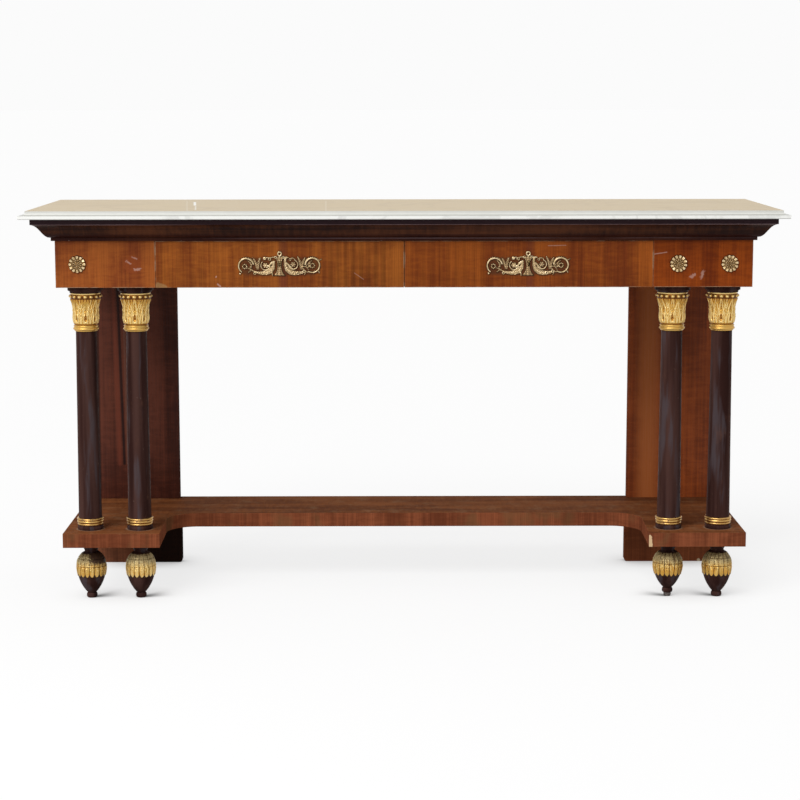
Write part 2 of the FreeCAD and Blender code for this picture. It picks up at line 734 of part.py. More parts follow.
def abacus():
    """The ebonised disc between capital and frieze, with a cove under it."""
    low = CAPITAL_BOTTOM + CAPITAL_HEIGHT
    cove_top = low + ABACUS_COVE_HEIGHT
    neck = ABACUS_NECK_DIAMETER / 2
    rim = ABACUS_DIAMETER / 2
    outline = Outline(in_front_view, BORE_RADIUS, low)
    outline.line(neck, low)
    outline.curve((neck, cove_top), (rim - EDGE_RADIUS, cove_top))
    outline.line(rim, cove_top + EDGE_RADIUS)
    outline.line(rim, FRIEZE_BOTTOM - EDGE_RADIUS)
    outline.line(rim - EDGE_RADIUS, FRIEZE_BOTTOM)
    outline.line(BORE_RADIUS, FRIEZE_BOTTOM)
    return turned(outline)


def capital():
    """The gilt bell: foot ring, torus and step, the leafy bell, its spreading lip and a top fillet."""
    foot = CAPITAL_FOOT_DIAMETER / 2
    torus = CAPITAL_TORUS_DIAMETER / 2
    step = CAPITAL_STEP_DIAMETER / 2
    bell = CAPITAL_BELL_DIAMETER / 2
    lip = CAPITAL_LIP_DIAMETER / 2
    fillet = CAPITAL_FILLET_DIAMETER / 2
    top = CAPITAL_BOTTOM + CAPITAL_HEIGHT
    torus_low = CAPITAL_BOTTOM + CAPITAL_FOOT_HEIGHT
    torus_high = torus_low + CAPITAL_TORUS_HEIGHT
    step_high = torus_high + CAPITAL_STEP_HEIGHT
    lip_low = top - CAPITAL_LIP_HEIGHT
    fillet_low = top - CAPITAL_FILLET_HEIGHT
    waist = (step_high + lip_low) / 2
    outline = Outline(in_front_view, BORE_RADIUS, CAPITAL_BOTTOM)
    outline.line(foot, CAPITAL_BOTTOM)
    outline.line(foot, torus_low)
    outline.arc((torus, (torus_low + torus_high) / 2), (foot, torus_high))
    outline.line(step, torus_high)
    outline.line(step, step_high)
    outline.line(foot, step_high)
    outline.curve((bell, step_high), (bell, waist))
    outline.curve((bell, lip_low - CAPITAL_FLARE_HEIGHT), (lip, lip_low))
    outline.curve((lip, fillet_low), (fillet, fillet_low))
    outline.line(fillet, top)
    outline.line(BORE_RADIUS, top)
    return turned(outline)


def base_ring():
    """The gilt triple ring at the foot of the shaft."""
    level = SHELF_TOP + BASE_DISC_HEIGHT
    outline = Outline(in_front_view, BORE_RADIUS, level)
    rings = (
        (LOW_RING_HEIGHT, LOW_RING_DIAMETER / 2),
        (MAIN_RING_HEIGHT, MAIN_RING_DIAMETER / 2),
        (TOP_RING_HEIGHT, TOP_RING_DIAMETER / 2),
    )
    for height, radius in rings:
        outline.line(radius - RING_BULGE, level)
        outline.arc((radius, level + height / 2), (radius - RING_BULGE, level + height))
        level = level + height
    outline.line(BORE_RADIUS, level)
    return turned(outline)


def base_disc():
    """The ebonised disc that stands on the shelf."""
    neck = BASE_DISC_NECK_DIAMETER / 2
    rim = BASE_DISC_DIAMETER / 2
    top = SHELF_TOP + BASE_DISC_HEIGHT
    rim_top = top - BASE_DISC_NECK_HEIGHT
    outline = Outline(in_front_view, BORE_RADIUS, SHELF_TOP)
    outline.line(rim - BASE_DISC_BULGE, SHELF_TOP)
    outline.arc((rim, (SHELF_TOP + rim_top) / 2), (rim - BASE_DISC_BULGE, rim_top))
    outline.line(neck, rim_top)
    outline.line(neck, top)
    outline.line(BORE_RADIUS, top)
    return turned(outline)


# --- Feet ---

def egg(sole, swell):
    """The acorn body of a foot, swollen or shrunk by a radial amount.

    sole is the height at which the foot's toe starts.
    """
    low = sole + TOE_HEIGHT
    high = FOOT_HEIGHT - FOOT_NECK_HEIGHT
    girth = EGG_DIAMETER / 2 + swell
    toe_neck = TOE_NECK_DIAMETER / 2 + swell
    neck = FOOT_NECK_DIAMETER / 2 + swell
    widest = between(low, high, EGG_WIDEST_AT)
    outline = Outline(in_front_view, 0, low)
    outline.line(toe_neck, low)
    outline.curve(
        (between(toe_neck, girth, EGG_LOW_SWELL), between(low, widest, EGG_LOW_TURN)),
        (girth, between(low, widest, EGG_LOW_FLANK)),
        (girth, widest),
    )
    outline.curve(
        (girth, between(widest, high, EGG_HIGH_FLANK)),
        (between(neck, girth, EGG_HIGH_SWELL), between(widest, high, EGG_HIGH_TURN)),
        (neck, high),
    )
    outline.line(0, high)
    return turned(outline)


def collar_band():
    reach = 2 * EGG_DIAMETER
    return box((-reach, reach), (-reach, reach), (COLLAR_BOTTOM, COLLAR_TOP))


def foot(sole):
    """Toe, egg with a seat for the leaf collar, neck and tenon, turned in one piece."""
    toe = TOE_DIAMETER / 2
    toe_neck = TOE_NECK_DIAMETER / 2
    neck = FOOT_NECK_DIAMETER / 2
    cap = FOOT_CAP_DIAMETER / 2
    toe_top = sole + TOE_HEIGHT
    neck_low = FOOT_HEIGHT - FOOT_NECK_HEIGHT
    cap_low = FOOT_HEIGHT - FOOT_CAP_HEIGHT
    toe_outline = Outline(in_front_view, 0, sole)
    toe_outline.line(TOE_SOLE_DIAMETER / 2, sole)
    toe_outline.curve((toe, sole), (toe, sole + TOE_HEIGHT / 2))
    toe_outline.curve((toe, toe_top), (toe_neck, toe_top))
    toe_outline.line(0, toe_top)

    neck_outline = Outline(in_front_view, 0, neck_low)
    neck_outline.line(neck, neck_low)
    neck_outline.curve((neck, between(neck_low, cap_low, FOOT_NECK_FLARE)), (cap, cap_low))
    neck_outline.line(cap, FOOT_HEIGHT)
    neck_outline.line(SPIGOT_RADIUS, FOOT_HEIGHT)
    neck_outline.line(SPIGOT_RADIUS, FOOT_HEIGHT + SHELF_SPIGOT_LENGTH)
    neck_outline.line(0, FOOT_HEIGHT + SHELF_SPIGOT_LENGTH)

    seat = collar_band().cut(egg(sole, -COLLAR_SEAT_DEPTH - COLLAR_CLEARANCE))
    body = egg(sole, 0).cut(seat)
    return body.fuse([turned(toe_outline), turned(neck_outline)]).removeSplitter()


def leaf_collar(sole):
    """The gilt collar of leaves that wraps the upper part of the egg."""
    shell = egg(sole, COLLAR_RELIEF).cut(egg(sole, -COLLAR_SEAT_DEPTH))
    return shell.common(collar_band())


def glide_pin(clearance):
    diameter = GLIDE_PIN_DIAMETER + 2 * clearance
    return rod(diameter, GLIDE_PIN_LENGTH + clearance, 0, 0, GLIDE_HEIGHT)


def foot_glide():
    """The domed button nailed under one foot."""
    radius = GLIDE_DIAMETER / 2
    outline = Outline(in_front_view, 0, 0)
    outline.line(GLIDE_SOLE_DIAMETER / 2, 0)
    outline.curve((radius, 0), (radius, GLIDE_HEIGHT / 2))
    outline.line(radius, GLIDE_HEIGHT)
    outline.line(0, GLIDE_HEIGHT)
    return turned(outline).fuse(glide_pin(0)).removeSplitter()


# --- Frieze ornaments ---

def rosette_level():
    return (FRIEZE_BOTTOM + FRIEZE_TOP) / 2


def rosette_pin(place, clearance):
    diameter = ROSETTE_PIN_DIAMETER + 2 * clearance
    length = ROSETTE_PIN_LENGTH + clearance
    return rod(diameter, length, place, FRIEZE_FRONT, rosette_level(), (0, 1, 0))


def rosette(place):
    rim = ROSETTE_DIAMETER / 2
    boss = ROSETTE_BOSS_DIAMETER / 2
    outline = Outline(in_front_view, 0, 0)
    outline.line(rim, 0)
    outline.curve((rim, ROSETTE_RIM_SWELL), (boss, ROSETTE_RIM_HEIGHT))
    outline.curve((boss, ROSETTE_HEIGHT), (0, ROSETTE_HEIGHT))
    disc = turned(outline)
    disc.rotate(FreeCAD.Vector(0, 0, 0), FreeCAD.Vector(1, 0, 0), 90)
    disc = moved(disc, place, FRIEZE_FRONT, rosette_level())
    return disc.fuse(rosette_pin(place, 0)).removeSplitter()


def ellipse_plate(x, z, width, height):
    """An upright elliptical plate that lies on the frieze's front plane."""
    plate = Part.makeCylinder(0.5, MOUNT_THICKNESS, FreeCAD.Vector(0, 0, 0), FreeCAD.Vector(0, -1, 0))
    stretch = FreeCAD.Matrix()
    stretch.scale(width, 1, height)
    return moved(plate.transformGeometry(stretch), x, FRIEZE_FRONT, z)


def scroll_ring(x, z, diameter):
    outer = rod(diameter, MOUNT_THICKNESS, x, FRIEZE_FRONT, z, (0, -1, 0))
    inner = rod(diameter - 2 * MOUNT_BAND_WIDTH, MOUNT_THICKNESS, x, FRIEZE_FRONT, z, (0, -1, 0))
    return outer.cut(inner)


def keyhole(side, y_low, y_high, clearance=0.0):
    """The shape of the keyhole between two planes across Y."""
    middle = side * DRAWER_CENTRE
    length = y_high - y_low
    hole = rod(KEYHOLE_DIAMETER + 2 * clearance, length, middle, y_low, KEYHOLE_LEVEL, (0, 1, 0))
    slot_width = KEYHOLE_SLOT_WIDTH + 2 * clearance
    slot_low = KEYHOLE_LEVEL - KEYHOLE_SLOT_DROP - clearance
    slot = box(centred(middle, slot_width), (y_low, y_high), (slot_low, KEYHOLE_LEVEL))
    return hole.fuse(slot)


def scroll_mount(side):
    """The pierced mount round the keyhole: a vase, two fronds and two outer scrolls."""
    middle = side * DRAWER_CENTRE
    centre = KEYHOLE_LEVEL + (MOUNT_VASE_RISE - MOUNT_VASE_DROP) / 2
    mount = ellipse_plate(middle, centre, MOUNT_VASE_WIDTH, MOUNT_VASE_RISE + MOUNT_VASE_DROP)
    band = (centre - MOUNT_BAND_WIDTH / 2, centre + MOUNT_BAND_WIDTH / 2)
    depth = (FRIEZE_FRONT - MOUNT_THICKNESS, FRIEZE_FRONT)
    for direction in (-1, 1):
        frond = middle + direction * MOUNT_FROND_REACH
        scroll = middle + direction * MOUNT_SCROLL_REACH
        mount = mount.fuse(scroll_ring(frond, centre, MOUNT_FROND_DIAMETER))
        mount = mount.fuse(scroll_ring(scroll, centre, MOUNT_SCROLL_DIAMETER))
        frond_edge = frond - direction * (MOUNT_FROND_DIAMETER / 2 - MOUNT_BAND_WIDTH / 2)
        mount = mount.fuse(box((middle, frond_edge), depth, band))
        far_edge = frond + direction * (MOUNT_FROND_DIAMETER / 2 - MOUNT_BAND_WIDTH / 2)
        scroll_edge = scroll - direction * (MOUNT_SCROLL_DIAMETER / 2 - MOUNT_BAND_WIDTH / 2)
        mount = mount.fuse(box((far_edge, scroll_edge), depth, band))
    mount = mount.removeSplitter()
    return mount.cut(keyhole(side, FRIEZE_FRONT - MOUNT_THICKNESS, FRIEZE_FRONT, PIN_CLEARANCE))


# --- Drawers ---

def joint_steps(low, high):
    """Middles of the evenly spaced tenons or tails on a drawer side."""
    pitch = (high - low) / JOINT_COUNT
    return [low + pitch * (index + 0.5) for index in range(JOINT_COUNT)]


def side_walls(side):
    """Limits on X of the drawer side next to the divider and of the one next to the end block."""
    near = across(side, DRAWER_NEAR, DRAWER_NEAR + DRAWER_SIDE_THICKNESS)
    far = across(side, DRAWER_FAR - DRAWER_SIDE_THICKNESS, DRAWER_FAR)
    return near, far


def front_tenons(wall):
    """Square stub tenons that hold a side in the back of the drawer front."""
    depth = (DRAWER_FRONT_BACK - FRONT_TENON_LENGTH, DRAWER_FRONT_BACK)
    levels = joint_steps(DRAWER_FLOOR, DRAWER_SIDE_TOP)
    width = (min(wall) + EDGE_RADIUS, max(wall) - EDGE_RADIUS)
    return [box(width, depth, centred(level, JOINT_WIDTH)) for level in levels]


def dovetails(wall):
    """Tails of a side that pass through the drawer back and widen towards the rear."""
    tails = []
    for level in joint_steps(DRAWER_BACK_BOTTOM, DRAWER_SIDE_TOP):
        narrow = JOINT_WIDTH / 2
        wide = narrow + DOVETAIL_FLARE
        outline = Outline(in_end_section, DRAWER_BACK_FRONT, level - narrow)
        outline.line(DRAWER_REAR, level - wide)
        outline.line(DRAWER_REAR, level + wide)
        outline.line(DRAWER_BACK_FRONT, level + narrow)
        tails.append(moved(pushed(outline, x=DRAWER_SIDE_THICKNESS), x=min(wall)))
    return tails


def panel_groove(side):
    """Room for the drawer bottom in the sides and the front."""
    groove_x = across(
        side,
        DRAWER_NEAR + DRAWER_SIDE_THICKNESS - DRAWER_GROOVE_DEPTH,
        DRAWER_FAR - DRAWER_SIDE_THICKNESS + DRAWER_GROOVE_DEPTH,
    )
    groove_y = (DRAWER_FRONT_BACK - DRAWER_GROOVE_DEPTH, DRAWER_REAR)
    return groove_x, groove_y, (PANEL_BOTTOM, PANEL_TOP)


def drawer_front(side):
    board = eased(box(
        across(side, DRAWER_SEAM, DRAWER_FAR),
        (FRIEZE_FRONT, DRAWER_FRONT_BACK),
        (FRIEZE_BOTTOM, DRAWER_FRONT_TOP),
    ))
    for wall in side_walls(side):
        for tenon in front_tenons(wall):
            board = board.cut(tenon)
    groove = box(*panel_groove(side), grow=PANEL_CLEARANCE)
    lock_room = box(*lock_limits(side), grow=TENON_CLEARANCE)
    return board.cut([groove, lock_room, keyhole(side, FRIEZE_FRONT, LOCK_FRONT)])


def drawer_side(side, wall):
    board = box(wall, (DRAWER_FRONT_BACK, DRAWER_BACK_FRONT), (DRAWER_FLOOR, DRAWER_SIDE_TOP))
    board = board.fuse(front_tenons(wall) + dovetails(wall)).removeSplitter()
    return board.cut(box(*panel_groove(side), grow=PANEL_CLEARANCE))


def drawer_back(side):
    board = box(
        across(side, DRAWER_NEAR, DRAWER_FAR),
        (DRAWER_BACK_FRONT, DRAWER_REAR),
        (DRAWER_BACK_BOTTOM, DRAWER_SIDE_TOP),
    )
    for wall in side_walls(side):
        board = board.cut(dovetails(wall))
    return board


def drawer_bottom(side):
    return box(*panel_groove(side))


def lock_limits(side):
    return (
        centred(side * DRAWER_CENTRE, LOCK_WIDTH),
        (LOCK_FRONT, DRAWER_FRONT_BACK),
        (LOCK_BOTTOM, DRAWER_FRONT_TOP),
    )


def bolt_tongue(side, lift, clearance):
    """The part of the bolt that rises through the lock's top plate, grown by a clearance."""
    middle = side * DRAWER_CENTRE
    return box(
        centred(middle, BOLT_WIDTH),
        (BOLT_BACK - BOLT_THICKNESS, BOLT_BACK),
        (BOLT_BODY_TOP, DRAWER_FRONT_TOP + lift),
        grow=clearance,
    )


def lock_case(side):
    """A tray let into the back of the drawer front, open towards the front, with a key post."""
    x, y, z = lock_limits(side)
    tray = box(x, y, z)
    hollow = box(
        (x[0] + LOCK_WALL, x[1] - LOCK_WALL),
        (LOCK_FRONT, DRAWER_FRONT_BACK - LOCK_WALL),
        (z[0] + LOCK_WALL, z[1] - LOCK_WALL),
    )
    tray = tray.cut([hollow, bolt_tongue(side, LOCK_WALL, BOLT_CLEARANCE)])
    post_length = LOCK_DEPTH - LOCK_WALL
    post = rod(KEY_POST_DIAMETER, post_length, side * DRAWER_CENTRE, LOCK_FRONT, KEYHOLE_LEVEL, (0, 1, 0))
    return tray.fuse(post).removeSplitter()


def lock_bolt(side):
    """The sliding bolt, drawn back: its tongue is flush with the lock's top plate."""
    body = box(
        centred(side * DRAWER_CENTRE, BOLT_BODY_WIDTH),
        (BOLT_BACK - BOLT_THICKNESS, BOLT_BACK),
        (BOLT_BODY_TOP - BOLT_BODY_HEIGHT, BOLT_BODY_TOP),
    )
    return body.fuse(bolt_tongue(side, -BOLT_CLEARANCE, 0)).removeSplitter()


# --- The whole table, one file per node ---

def export_carcase():
    export("marble_top", marble_top())
    export("cornice_front", cornice_front())
    export("back_rail", back_rail())
    export("top_front_rail", top_front_rail())
    export("bottom_front_rail", bottom_front_rail())
    export("drawer_divider", drawer_divider())
    export("drawer_runners", *drawer_runners())
    export("top_battens", *top_battens())
    export("platform_shelf", platform_shelf())
    export("rosettes", *[rosette(place) for place in ROSETTE_PLACES])
    for name, side in SIDES:
        export("cornice_" + name, cornice_return(side))
        export("end_block_" + name, end_block(side))
        export("side_board_" + name, side_board(side))
        export("rear_board_" + name, rear_board(side))
        export("rear_foot_" + name, rear_foot(side))


def export_columns():
    shaft = column_shaft()
    bell = capital()
    ring = base_ring()
    for name, axis in COLUMNS:
        export("shaft_" + name, moved(shaft, axis, COLUMN_LINE))
        export("capital_" + name, moved(bell, axis, COLUMN_LINE))
        export("base_ring_" + name, moved(ring, axis, COLUMN_LINE))
    export("abaci", *[moved(abacus(), axis, COLUMN_LINE) for name, axis in COLUMNS])
    export("base_discs", *[moved(base_disc(), axis, COLUMN_LINE) for name, axis in COLUMNS])


def export_feet():
    for name, axis in COLUMNS:
        sole = GLIDE_HEIGHT if name == GLIDED_FOOT else 0
        turned_foot = foot(sole)
        if name == GLIDED_FOOT:
            turned_foot = turned_foot.cut(glide_pin(PIN_CLEARANCE))
            export("foot_glide", moved(foot_glide(), axis, COLUMN_LINE))
        export("foot_" + name, moved(turned_foot, axis, COLUMN_LINE))
        export("leaf_collar_" + name, moved(leaf_collar(sole), axis, COLUMN_LINE))


def export_drawers():
    for name, side in SIDES:
        export(name + "_drawer_front", drawer_front(side))
        export(name + "_drawer_sides", *[drawer_side(side, wall) for wall in side_walls(side)])
        export(name + "_drawer_back", drawer_back(side))
        export(name + "_drawer_bottom", drawer_bottom(side))
        export(name + "_scroll_mount", scroll_mount(side))
        export(name + "_lock_case", lock_case(side))
        export(name + "_lock_bolt", lock_bolt(side))


export_carcase()
export_columns()
export_feet()
export_drawers()
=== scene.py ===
import math

import bpy
import numpy
from mathutils import Matrix, Vector, noise


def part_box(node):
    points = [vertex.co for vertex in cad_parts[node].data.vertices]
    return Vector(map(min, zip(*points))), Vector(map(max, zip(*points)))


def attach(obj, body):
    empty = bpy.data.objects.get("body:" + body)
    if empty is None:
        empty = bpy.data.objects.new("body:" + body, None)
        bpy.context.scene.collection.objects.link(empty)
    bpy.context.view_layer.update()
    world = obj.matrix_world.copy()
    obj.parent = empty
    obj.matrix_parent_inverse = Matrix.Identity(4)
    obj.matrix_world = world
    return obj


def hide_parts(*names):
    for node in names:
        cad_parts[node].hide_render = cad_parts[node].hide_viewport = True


# Pier table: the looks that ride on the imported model.
# Metres. +Z is up, the front faces -Y, and +X is the right side seen from the front.

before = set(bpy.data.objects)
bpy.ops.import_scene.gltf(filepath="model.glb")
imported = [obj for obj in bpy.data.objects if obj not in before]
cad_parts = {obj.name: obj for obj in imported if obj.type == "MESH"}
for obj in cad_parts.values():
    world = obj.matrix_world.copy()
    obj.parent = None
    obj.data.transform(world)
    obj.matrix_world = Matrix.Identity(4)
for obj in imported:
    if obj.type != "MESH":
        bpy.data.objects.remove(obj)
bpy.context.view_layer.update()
MM = 0.001

# --- Camera ---
PICTURE_PIXELS = 800
FOCAL_PIXELS = 2085.0
SENSOR_WIDTH = 36.0
CAMERA_PLACE = Vector((-0.0333, -4.8785, 1.1559))
CAMERA_YAW = 0.00496
CAMERA_PITCH = 0.14568
CAMERA_ROLL = -0.00099
CAMERA_FAR_CLIP = 400.0

# --- Light and floor ---
SKY_STRENGTH = 0.50
BACKDROP_WHITE = 0.965
FLOOR_SIZE = 300.0
FLOOR_SEEN = 0.97
FLOOR_BOUNCE = 0.45
FLOOR_GLOW = 0.79
CONTACT_SHADE_REACH = 0.09
# Painted shadows on the floor beside the toes: reach aside and back, first and last half width, depth.
TOE_SHADE_ASIDE = 0.078
TOE_SHADE_BACK = 0.040
TOE_SHADE_WIDTHS = (0.016, 0.055)
TOE_SHADE_DEPTH = 0.92
SUN_STRENGTH = 1.75
SUN_SOFTNESS = 40.0
SUN_DIRECTION = (0.42, 0.62, -0.80)
SOFTBOX_POWER = 26.0
SOFTBOX_PLACE = (-1.9, -3.0, 2.3)
SOFTBOX_SIZE = (0.7, 2.0)

# --- Places taken from the imported model ---
COLUMN_NAMES = ("left_outer", "left_inner", "right_inner", "right_outer")
SIDES = ("left", "right")
MARBLE_LOW, MARBLE_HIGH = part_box("marble_top")
CORNICE_LOW, CORNICE_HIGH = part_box("cornice_front")
SHELF_LOW, SHELF_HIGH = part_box("platform_shelf")
FRIEZE_LOW, FRIEZE_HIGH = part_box("left_drawer_front")
FRIEZE_PLANE = FRIEZE_LOW.y
FRIEZE_LEVEL = (FRIEZE_LOW.z + FRIEZE_HIGH.z) / 2
BAND_TOP = MARBLE_LOW.z + 8 * MM


def middle_of(node):
    low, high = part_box(node)
    return (low + high) / 2


# --- Node trees ---

X_GRAIN = (0.05, 1, 1)
Y_GRAIN = (1, 0.05, 1)
Z_GRAIN = (1, 1, 0.05)
PLAIN = (1, 1, 1)


class Nodes:
    """Short calls that add nodes to a tree and return their outputs."""

    def __init__(self, tree):
        self.tree = tree

    def node(self, kind, inputs=None, **settings):
        """A new node, with its inputs fed by name or number."""
        made = self.tree.nodes.new("ShaderNode" + kind)
        for setting, value in settings.items():
            setattr(made, setting, value)
        for socket, value in (inputs or {}).items():
            self.feed(made.inputs[socket], value)
        return made

    def feed(self, socket, value):
        if isinstance(value, bpy.types.NodeSocket):
            self.tree.links.new(value, socket)
        elif isinstance(value, tuple) and len(value) == 3 and socket.type == "RGBA":
            socket.default_value = (*value, 1)
        else:
            socket.default_value = value

    def math(self, operation, first, second=0.0):
        return self.node("Math", {0: first, 1: second}, operation=operation).outputs[0]

    def times(self, first, second):
        return self.math("MULTIPLY", first, second)

    def plus(self, first, second):
        return self.math("ADD", first, second)

    def minus(self, first, second):
        return self.math("SUBTRACT", first, second)

    def apart(self, first, second):
        return self.math("ABSOLUTE", self.minus(first, second))

    def vector(self, operation, first, second):
        made = self.node("VectorMath", {0: first, 1: second}, operation=operation)
        return made.outputs["Value" if operation in ("DOT_PRODUCT", "DISTANCE") else "Vector"]

    def scaled(self, vector, factor):
        return self.node("VectorMath", {0: vector, "Scale": factor}, operation="SCALE").outputs["Vector"]

    def level(self, value, low, high, floor=0.0, ceiling=1.0):
        """The value mapped from low..high to floor..ceiling, with smooth ends."""
        return self.node("MapRange", {
            "Value": value, "From Min": low, "From Max": high, "To Min": floor, "To Max": ceiling,
        }, interpolation_type="SMOOTHSTEP").outputs["Result"]

    def seen(self):
        """1 for rays that show a surface itself: camera, glossy and transmission rays."""
        path = self.node("LightPath").outputs
        sharp = self.math("MAXIMUM", path["Is Glossy Ray"], path["Is Transmission Ray"])
        return self.math("MAXIMUM", path["Is Camera Ray"], sharp)


class Finish(Nodes):
    """A procedural material on a Principled shader."""

    def __init__(self, name, roughness=0.5, metallic=0.0, specular=0.5):
        self.material = bpy.data.materials.new(name)
        self.material.use_nodes = True
        super().__init__(self.material.node_tree)
        self.shader = self.tree.nodes["Principled BSDF"].inputs
        self.shader["Roughness"].default_value = roughness
        self.shader["Metallic"].default_value = metallic
        self.shader["Specular IOR Level"].default_value = specular

    def place(self, stretch=PLAIN, shift=(0, 0, 0)):
        """Coordinates fixed to the piece, stretched along its grain."""
        fixed = self.node("TexCoord").outputs["Object"]
        mapping = self.node("Mapping", {"Vector": fixed, "Scale": stretch, "Location": shift})
        return mapping.outputs["Vector"]

    def part_of(self, axis):
        return self.node("SeparateXYZ", {0: self.place()}).outputs[axis]

    def height(self):
        """Height above the floor."""
        return self.part_of("Z")

    def facing(self, axis):
        """How far the surface faces along an axis, from 0 to 1, the same on both sides."""
        normal = self.node("TexCoord").outputs["Normal"]
        return self.math("ABSOLUTE", self.node("SeparateXYZ", {0: normal}).outputs[axis])

    def noise(self, place, scale, detail=3.0, roughness=0.5, distortion=0.0):
        return self.node("TexNoise", {
            "Vector": place, "Scale": scale,
            "Detail": detail, "Roughness": roughness, "Distortion": distortion,
        }).outputs["Fac"]

    def patches(self, scale, low, high, detail, roughness, stretch=PLAIN, floor=0.0, ceiling=1.0):
        """Ragged patches: floor where a noise is under low, ceiling where it is over high."""
        rough = self.noise(self.place(stretch), scale, detail, roughness)
        return self.level(rough, low, high, floor, ceiling)

    def spot(self, distance, radius, raggedness, scale, softness):
        """1 where a distance is well under the radius, 0 over it, with a ragged soft rim between."""
        if raggedness:
            rough = self.minus(self.noise(self.place(), scale), 0.5)
            distance = self.plus(distance, self.times(rough, raggedness))
        return self.level(distance, radius, radius * softness)

    def near(self, point, radius, raggedness, scale=300.0):
        """1 inside a ragged spot round a point, 0 outside it."""
        return self.spot(self.vector("DISTANCE", self.place(), point), radius, raggedness, scale, 0.8)

    def streak(self, start, end, radius, raggedness, scale, softness):
        """1 close to the straight line between two points, 0 away from it."""
        run = Vector(end) - Vector(start)
        offset = self.vector("SUBTRACT", self.place(), start)
        share = self.vector("DOT_PRODUCT", offset, run / run.length_squared)
        nearest = self.scaled(run, self.node("Clamp", {"Value": share}).outputs["Result"])
        return self.spot(self.vector("DISTANCE", offset, nearest), radius, raggedness, scale, softness)

    def attribute(self, name):
        return self.node("Attribute", attribute_name=name).outputs["Fac"]

    def edges(self, reach):
        """Over 0 on arrises that would wear, 0 on flat stretches."""
        rounded = self.node("Bevel", {"Radius": reach}, samples=4).outputs["Normal"]
        exact = self.node("NewGeometry").outputs["Normal"]
        return self.minus(1.0, self.vector("DOT_PRODUCT", rounded, exact))

    def mix(self, share, first, second):
        return self.node("Mix", {0: share, 6: first, 7: second}, data_type="RGBA").outputs[2]

    def over(self, colour, tint, mask, amount=1.0):
        """The colour with a tint laid over it where the mask is 1, as strongly as amount says."""
        return self.mix(self.times(mask, amount), colour, tint)

    def marked(self, colour, marks, scale):
        """The colour with streaks over it: ends, radius, raggedness, softness, tint and strength."""
        for start, end, radius, raggedness, softness, tint, strength in marks:
            mark = self.streak(start, end, radius, raggedness, scale, softness)
            colour = self.over(colour, tint, mark, strength)
        return colour

    def colour(self, value):
        self.feed(self.shader["Base Color"], value)

    def roughness(self, value):
        self.feed(self.shader["Roughness"], value)

    def metallic(self, value):
        self.feed(self.shader["Metallic"], value)

    def bump(self, height, depth, strength):
        """Relief of that depth in metres."""
        relief = self.node("Bump", {"Height": height, "Distance": depth, "Strength": strength})
        self.feed(self.shader["Normal"], relief.outputs["Normal"])


# --- Camera, light, floor ---

def placed(name, data):
    """A new object that holds the data, linked into the scene."""
    made = bpy.data.objects.new(name, data)
    bpy.context.scene.collection.objects.link(made)
    return made


def add_camera():
    heading = Vector((math.sin(CAMERA_YAW), math.cos(CAMERA_YAW), 0))
    forward = heading * math.cos(CAMERA_PITCH) + Vector((0, 0, -math.sin(CAMERA_PITCH)))
    level_right = Vector((math.cos(CAMERA_YAW), -math.sin(CAMERA_YAW), 0))
    level_up = level_right.cross(forward)
    right = level_right * math.cos(CAMERA_ROLL) + level_up * math.sin(CAMERA_ROLL)
    up = level_up * math.cos(CAMERA_ROLL) - level_right * math.sin(CAMERA_ROLL)
    camera = bpy.data.cameras.new("camera")
    camera.lens = FOCAL_PIXELS / PICTURE_PIXELS * SENSOR_WIDTH
    camera.sensor_width = SENSOR_WIDTH
    camera.clip_end = CAMERA_FAR_CLIP
    holder = placed("camera", camera)
    turn = Matrix((right, up, -forward)).transposed().to_4x4()
    holder.matrix_world = Matrix.Translation(CAMERA_PLACE) @ turn
    bpy.context.scene.camera = holder


def aimed(direction):
    return Vector(direction).to_track_quat("-Z", "Y").to_euler()


def add_lights():
    sun = bpy.data.lights.new("sun", "SUN")
    sun.energy = SUN_STRENGTH
    sun.angle = math.radians(SUN_SOFTNESS)
    placed("sun", sun).rotation_euler = aimed(SUN_DIRECTION)

    softbox = bpy.data.lights.new("softbox", "AREA")
    softbox.shape = "RECTANGLE"
    softbox.size, softbox.size_y = SOFTBOX_SIZE
    softbox.energy = SOFTBOX_POWER
    holder = placed("softbox", softbox)
    holder.location = SOFTBOX_PLACE
    holder.rotation_euler = aimed(middle_of("platform_shelf") - Vector(SOFTBOX_PLACE))


def add_world():
    world = bpy.data.worlds.new("surroundings")
    world.use_nodes = True
    nodes = Nodes(world.node_tree)
    background = world.node_tree.nodes["Background"].inputs
    background["Color"].default_value = (1, 1, 1, 1)
    nodes.feed(background["Strength"], nodes.level(nodes.seen(), 0, 1, SKY_STRENGTH, BACKDROP_WHITE))
    bpy.context.scene.world = world


def toe_shade(finish, toe):
    """A painted soft shadow that a foot seems to throw inwards on the floor: 1 beside its toe, 0 at its far
    end.
    """
    run = Vector((math.copysign(TOE_SHADE_ASIDE, -toe.x), TOE_SHADE_BACK, 0))
    aside = Vector((-run.y, run.x, 0)).normalized()
    offset = finish.vector("SUBTRACT", finish.place(), (toe.x, toe.y, 0))
    share = finish.vector("DOT_PRODUCT", offset, run / run.length_squared)
    beside = finish.math("ABSOLUTE", finish.vector("DOT_PRODUCT", offset, aside))
    start, end = TOE_SHADE_WIDTHS
    width = finish.math("MAXIMUM", finish.plus(finish.times(share, end - start), start), start)
    spread = finish.level(finish.math("DIVIDE", beside, width), 1.0, 0.1)
    fade = finish.times(finish.level(share, 1.0, -0.1), finish.level(share, -0.05, 0.05))
    return finish.times(spread, fade)


